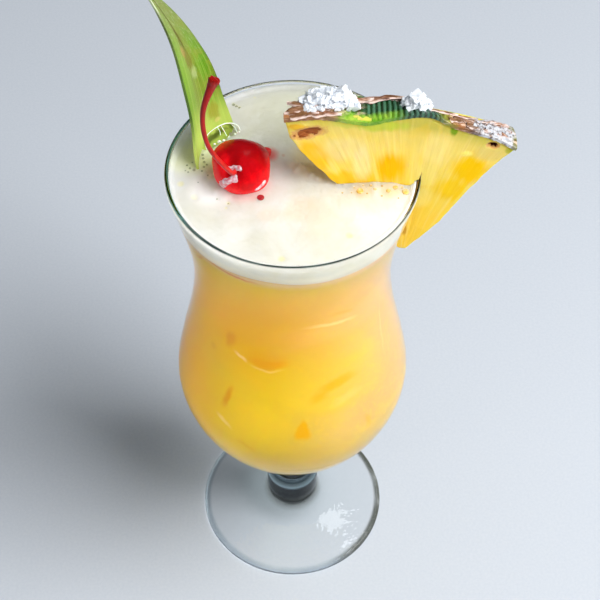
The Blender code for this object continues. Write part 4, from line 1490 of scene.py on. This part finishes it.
def cutCorner(piece):
    # the slice thins towards its left end at the back
    cornerX, cornerY = wedge["cornerPlace"]
    place = (cornerX * mm, cornerY * mm, 0.2)
    with editing(piece):
        bpy.ops.mesh.bisect(plane_co=place, plane_no=(-1, 1, 0), use_fill=True, clear_outer=True)


def rindFrame(along):
    share = along / chordLength
    tangent = (rindPoint(share + 0.01) - rindPoint(share - 0.01)).normalized()
    return rindPoint(share), tangent, Vector((-tangent.y, tangent.x))


def onRind(along, depth, lift):
    # matrix of a piece that lies on the rind, its own Z outwards
    place, tangent, outwards = rindFrame(along)
    depthShare = 2 * depth / (wedge["back"] - wedge["front"]) - 1
    place = place + outwards * (rindRise(along, depthShare) + lift)
    axisX = Vector((tangent.x, 0, tangent.y))
    axisZ = Vector((outwards.x, 0, outwards.y))
    turn = Matrix((axisX, axisZ.cross(axisX), axisZ)).transposed().to_4x4()
    return Matrix.Translation(Vector((place.x, wedge["front"] + depth, place.y)) * mm) @ turn


def rindMaterial():
    material, tree, shader = newMaterial("rindSkin", {"Specular IOR Level": 0.5})
    place = uvPlace(tree)  # u along the rind, v from front to back
    solidPlace = objectPlace(tree)
    along, over = parts(place)[0:2]
    coarse = noiseOf(solidPlace, 240, 5, 0.65)
    shifted = plus(along, ranged(coarse, 0.3, 0.7, -0.02, 0.02))
    body = rampOf(
        shifted,
        [(0.0, colour(158, 106, 64)), (0.14, colour(150, 106, 74)), (0.22, colour(140, 118, 80)),
         (0.26, colour(70, 124, 22)), (0.33, colour(26, 70, 24)), (0.62, colour(24, 58, 32)),
         (0.67, colour(140, 144, 50)), (0.72, colour(150, 96, 50)), (0.80, colour(92, 66, 52)),
         (0.96, colour(128, 118, 104)), (1.0, colour(120, 122, 50))],
    )
    # ribs of the fresh scale, with painted highlights on their crests and painted shade in the grooves
    wave = sums("SINE", times(along, chordLength * math.pi / rind["ribSpacing"]))
    crest = ranged(absolute(wave), 0.45, 1.0)
    onScale = times(ranged(along, 0.31, 0.35), ranged(along, 0.68, 0.63))
    body = mixed(times(onScale, times(crest, 0.45)), body, colour(92, 138, 116))
    body = mixed(times(onScale, ranged(crest, 0.3, 0.0, 0.0, 0.5)), body, colour(10, 40, 20))
    # dry and cracked elsewhere
    elsewhere = minus(1.0, onScale)
    dry = times(elsewhere, ranged(coarse, 0.48, 0.62, 0.0, 0.85))
    body = mixed(dry, body, colour(82, 50, 34))
    pale = noiseOf(stretched(solidPlace, (150, 500, 500)), 1.0, 4, 0.65)
    dry = times(elsewhere, ranged(pale, 0.52, 0.68, 0.0, 0.8))
    body = mixed(dry, body, colour(226, 196, 172))
    # bright green and yellow along the front edge
    frontEdge = ranged(plus(over, ranged(coarse, 0.3, 0.7, -0.06, 0.06)), 0.34, 0.12)
    green = times(ranged(shifted, 0.19, 0.28), ranged(shifted, 0.52, 0.40))
    fresh = rampOf(coarse, [(0.35, colour(92, 150, 22)), (0.65, colour(166, 194, 66))])
    body = mixed(times(frontEdge, green), body, fresh)
    # whitish bloom towards the right end
    bloom = times(ranged(shifted, 0.78, 0.85), ranged(shifted, 1.0, 0.96))
    frost = times(bloom, ranged(noiseOf(solidPlace, 420, 4, 0.7), 0.38, 0.56))
    body = mixed(frost, body, colour(200, 201, 205))
    feed(shader.inputs["Base Color"], body)
    feed(shader.inputs["Roughness"], minus(0.62, times(onScale, 0.36)))
    addBump(shader, noiseOf(solidPlace, 800, 5, 0.7), 0.0005, 0.7)
    return material


def makeRind():
    halfDepth = (wedge["back"] - wedge["front"]) / 2 + rind["overhang"]
    piece = rindSlab("fruitRind", rind["across"], rind["over"], halfDepth, rindLift)
    cutCorner(piece)
    smoothRound(piece, 50)
    handOver(piece, rindMaterial(), "rind", "pineapple_wedge")


def scaleMaterial():
    material, tree, shader = newMaterial("driedScale", {"Roughness": 0.62, "Specular IOR Level": 0.3})
    solidPlace = objectPlace(tree)
    tip, side = parts(uvPlace(tree))[0:2]
    grain = noiseOf(stretched(solidPlace, (190, 620, 620)), 1.0, 5, 0.7, 0.4)
    body = rampOf(
        grain,
        [(0.32, colour(58, 34, 24)), (0.45, colour(112, 72, 50)), (0.56, colour(150, 108, 84)),
         (0.66, colour(192, 158, 138)), (0.8, colour(226, 206, 194))],
    )
    tone = noiseOf(solidPlace, 130, 2)
    body = mixed(ranged(tone, 0.46, 0.62, 0.0, 0.7), body, colour(118, 84, 50))
    # papery pale margins and tip
    margin = ranged(absolute(minus(side, 0.5)), 0.26, 0.46)
    margin = sums("MAXIMUM", margin, ranged(tip, 0.72, 0.95))
    margin = times(margin, ranged(grain, 0.36, 0.52, 0.1, 0.9))
    body = mixed(margin, body, colour(234, 210, 200))
    x = parts(solidPlace)[0]
    frosty = times(ranged(x, 0.052, 0.058), ranged(noiseOf(solidPlace, 420, 4, 0.7), 0.42, 0.58))
    body = mixed(frosty, body, colour(196, 197, 202))
    feed(shader.inputs["Base Color"], body)
    addBump(shader, grain, 0.0004, 0.8)
    return material


def makeScales():
    made = []
    for number, (along, depth, length, width, heading, lift, curl) in enumerate(rind["scales"]):
        bpy.ops.mesh.primitive_grid_add(x_subdivisions=30, y_subdivisions=16, size=2)
        piece = takeNew(f"scale{number}")
        # each point lies on the rind at its own place, so the scale follows the ground under it
        turn = math.radians(heading)
        slope = math.tan(math.radians(lift))
        for vert in piece.data.vertices:
            up, side = (vert.co.x + 1) / 2, vert.co.y
            ragged = 1 + 0.45 * noise.noise(Vector((up * 7, side * 1.5, number * 3.1)))
            halfWidth = width / 2 * (1 - up**1.6 * 0.92) * min(1.0, 0.6 + up * 2.2) * ragged
            forward = (up - 0.5) * length * (1 + 0.06 * noise.noise(Vector((side * 3, 4, number))))
            sideways = side * halfWidth
            groundAlong = along + forward * math.cos(turn) - sideways * math.sin(turn)
            groundDepth = depth + forward * math.sin(turn) + sideways * math.cos(turn)
            height = rind["scaleLift"] + up * length * slope + curl * up**2 - 0.5 * side**4
            height += 0.35 * noise.noise(Vector((up * 4, side * 2, number * 1.7)))
            vert.co = onRind(groundAlong, groundDepth, height).to_translation()
        addModifier(piece, "SOLIDIFY", thickness=rind["scaleThickness"] * mm, offset=0)
        applyModifiers(piece)
        made.append(piece)
    piece = joinPieces(made, "rindScales")
    faceOutward(piece)
    smoothRound(piece, 50)
    handOver(piece, scaleMaterial(), "rind", "pineapple_wedge")


# Coconut

coconut = {
    # heaps: place along the rind, depth, half length, half depth, height, count, flake size, tilt
    "heaps": [
        (13.4, 5.6, 7.8, 3.0, 5.0, 84, 1.0, 1.2), (15.6, 5.8, 4.0, 2.2, 6.2, 30, 1.0, 1.2),
        (38.6, 5.6, 4.0, 2.2, 6.6, 46, 1.0, 1.2), (8.4, 2.4, 3.2, 1.1, 0.5, 9, 0.8, 0.8),
        (60.4, 3.0, 4.6, 1.6, 0.2, 15, 0.7, 0.25), (66.6, 3.6, 2.4, 2.2, 0.2, 11, 0.7, 0.25),
    ],
    "size": (1.35, 1.0, 0.6),
    "seed": 11,
}


def coconutMaterial():
    material, tree, shader = newMaterial(
        "coconutFlake",
        {"Roughness": 0.55, "Subsurface Weight": 0.4, "Subsurface Radius": (1, 1, 1),
         "Subsurface Scale": 0.0012},
    )
    place = objectPlace(tree)
    cloud = noiseOf(place, 500, 3)
    body = rampOf(cloud, [(0.35, colour(222, 229, 238)), (0.65, colour(240, 243, 248))])
    # dusty and cracked at the right end of the slice
    crackle = noiseOf(place, 650, 4, 0.7)
    cracks = rampOf(crackle, [(0.42, colour(96, 84, 80)), (0.52, colour(196, 198, 204))])
    body = mixed(ranged(parts(place)[0], 0.050, 0.052), body, cracks)
    feed(shader.inputs["Base Color"], body)
    addBump(shader, noiseOf(place, 1500, 3), 0.0002, 0.5)
    return material


def makeCoconut():
    draw = random.Random(coconut["seed"])
    bpy.ops.mesh.primitive_cube_add(size=2)
    pattern = takeNew("flakePattern")
    with editing(pattern):
        bpy.ops.mesh.subdivide(number_cuts=1)
    made = []
    for along, depth, halfLength, halfDepth, height, count, full, tilt in coconut["heaps"]:
        for number in range(count):
            reach = math.sqrt((number + 0.5) / count)
            angle = number * math.radians(137.5)
            flake = copyPiece(pattern)
            lift = height * (1 - reach) ** 0.8 * draw.uniform(0.7, 1.0)
            flakeAlong = along + halfLength * reach * math.cos(angle)
            flakeDepth = depth + halfDepth * reach * math.sin(angle)
            pose = (
                onRind(flakeAlong, flakeDepth, lift)
                @ Matrix.Rotation(draw.uniform(0, fullTurn), 4, "Z")
                @ Matrix.Rotation(draw.uniform(-tilt, tilt), 4, "Y")
                @ Matrix.Rotation(draw.uniform(-tilt, tilt) * 0.7, 4, "X")
            )
            size = draw.uniform(0.6, 1.25) * full
            seed = Vector((draw.uniform(0, 50), draw.uniform(0, 50), 0))
            for vert in flake.data.vertices:
                rough = noise.noise_vector(vert.co * 0.9 + seed) * 0.55
                halves = zip(vert.co, rough, coconut["size"])
                local = Vector([(part + bump) * half * size for part, bump, half in halves])
                vert.co = pose @ (local * mm)
            made.append(flake)
    bpy.data.objects.remove(pattern)
    piece = joinPieces(made, "coconutFlakes")
    smoothRound(piece, 48)
    handOver(piece, coconutMaterial(), "coconut", "pineapple_wedge")


# Bubbles and the red drop on the foam

froth = {
    # amber bubbles where the foam meets the slice: x, y, radius
    "amber": [
        (20.8, -7.8, 1.15), (31.7, -6.3, 0.85), (29.5, -7.6, 0.75), (34.9, -7.3, 1.15), (25.4, -7.4, 0.55),
        (24.2, -6.0, 0.5), (19.1, -6.5, 0.3), (21.8, -5.9, 0.3), (33.8, -5.9, 0.45), (27.5, -9.3, 0.35),
        (32.6, -9.9, 0.3), (15.4, -8.1, 0.3), (23.0, -8.6, 0.3), (27.6, -6.1, 0.35), (18.2, -8.2, 0.25),
    ],
    # small dark-edged bubbles near the leaf and at the far wall
    "clear": [
        (-28.3, 7.6, 0.45), (-28.1, 6.1, 0.45), (-27.7, 4.4, 0.45), (-27.7, 2.3, 0.4), (-26.8, 3.2, 0.35),
        (-26.3, -1.1, 0.3), (-28.2, 0.6, 0.35), (-29.2, -4.1, 0.25), (-33.0, 3.1, 0.35), (-32.0, 1.8, 0.4),
        (-30.7, 1.0, 0.5), (-32.5, 0.1, 0.35), (-33.4, 0.9, 0.3), (-31.4, 4.4, 0.3), (-19.4, 30.2, 0.6),
        (-18.4, 29.4, 0.5), (-17.4, 28.6, 0.45), (-23.1, -10.6, 0.35), (-19.6, -12.4, 0.35),
    ],
    "drop": (-9.7, -10.7, 1.15),
    # white films of the large bubbles between leaf and cherry: places, thickness
    "films": [
        (((-27.2, 10.4, 197.4), (-27.7, 12.0, 199.0), (-27.1, 14.4, 199.8), (-25.1, 17.0, 199.9),
          (-22.2, 19.1, 199.9), (-19.4, 19.8, 199.6), (-17.6, 19.3, 199.0), (-16.9, 17.9, 198.3)), 0.22),
        (((-22.9, 18.4, 199.9), (-22.0, 16.7, 199.6), (-21.0, 15.0, 198.8)), 0.15),
        (((-24.0, 17.7, 199.9), (-23.2, 16.3, 199.4), (-23.0, 15.2, 198.9)), 0.12),
        (((-19.9, 20.2, 199.1), (-18.4, 18.2, 199.0), (-17.7, 16.6, 198.4)), 0.16),
    ],
    "beads": [
        (-23.4, 13.9, 0.7), (-22.0, 14.6, 0.5), (-20.2, 15.7, 0.65), (-24.8, 13.0, 0.4),
        (-18.4, 16.8, 0.5), (-17.2, 17.6, 0.35),
    ],
}


def bubbleMaterial(name, tint, clear):
    material, tree, shader = newMaterial(
        name, {"Roughness": 0.05, "Transmission Weight": clear, "IOR": 1.25, "Coat Weight": 0.5}
    )
    cloud = noiseOf(objectPlace(tree), 900, 2)
    pale = tuple(part * 0.5 + 0.5 for part in tint[:3]) + (1,)
    feed(shader.inputs["Base Color"], rampOf(cloud, [(0.35, tint), (0.75, pale)]))
    return material


def makeDomes(name, spots, squash, material, slotName):
    made = []
    for x, y, radius in spots:
        height = max(foamHeight(x, y), foam["level"] - 0.5) + radius * 0.1
        bpy.ops.mesh.primitive_uv_sphere_add(
            segments=24, ring_count=14, radius=radius * mm,
            location=(x * mm, y * mm, height * mm),
        )
        dome = takeNew(name)
        dome.scale.z = squash
        made.append(dome)
    piece = joinPieces(made, name)
    smoothRound(piece, 80)
    handOver(piece, material, slotName)


def clouded(name, settings, scale, dark, light):
    # a material that drifts between two tones
    material, tree, shader = newMaterial(name, settings)
    cloud = noiseOf(objectPlace(tree), scale, 2)
    feed(shader.inputs["Base Color"], rampOf(cloud, [(0.3, dark), (0.7, light)]))
    return material


def makeBubbles():
    amber = bubbleMaterial("amberBubble", colour(252, 204, 90), 0.55)
    makeDomes("amberBubbles", froth["amber"], 0.38, amber, "foam")
    clear = bubbleMaterial("clearBubble", colour(150, 160, 130), 0.9)
    makeDomes("clearBubbles", froth["clear"], 0.7, clear, "foam")
    film = clouded(
        "bubbleFilm", {"Roughness": 0.12, "Subsurface Weight": 0.3, "Subsurface Scale": 0.001},
        700, colour(232, 238, 226), colour(252, 253, 250),
    )
    films = [
        tubePiece(f"film{number}", smoothLine(vectors(line), 6), wide, roundness=3)
        for number, (line, wide) in enumerate(froth["films"])
    ]
    piece = joinPieces(films, "bubbleFilms")
    smoothRound(piece, 60)
    handOver(piece, film, "foam")
    makeDomes("foamBeads", froth["beads"], 0.8, film, "foam")
    syrup = clouded(
        "redSyrup", {"Roughness": 0.08, "Coat Weight": 1.0}, 900, colour(134, 16, 24), colour(172, 30, 36)
    )
    makeDomes("syrupDrop", [froth["drop"]], 0.45, syrup, "cherry")


makeCamera()
makeStudio()
makeGlass()
makeDrink()
makeFoam()
makeCherry()
makeCling()
makeStem()
makeLeaf()
makeFlesh()
makeRind()
makeScales()
makeCoconut()
makeBubbles()
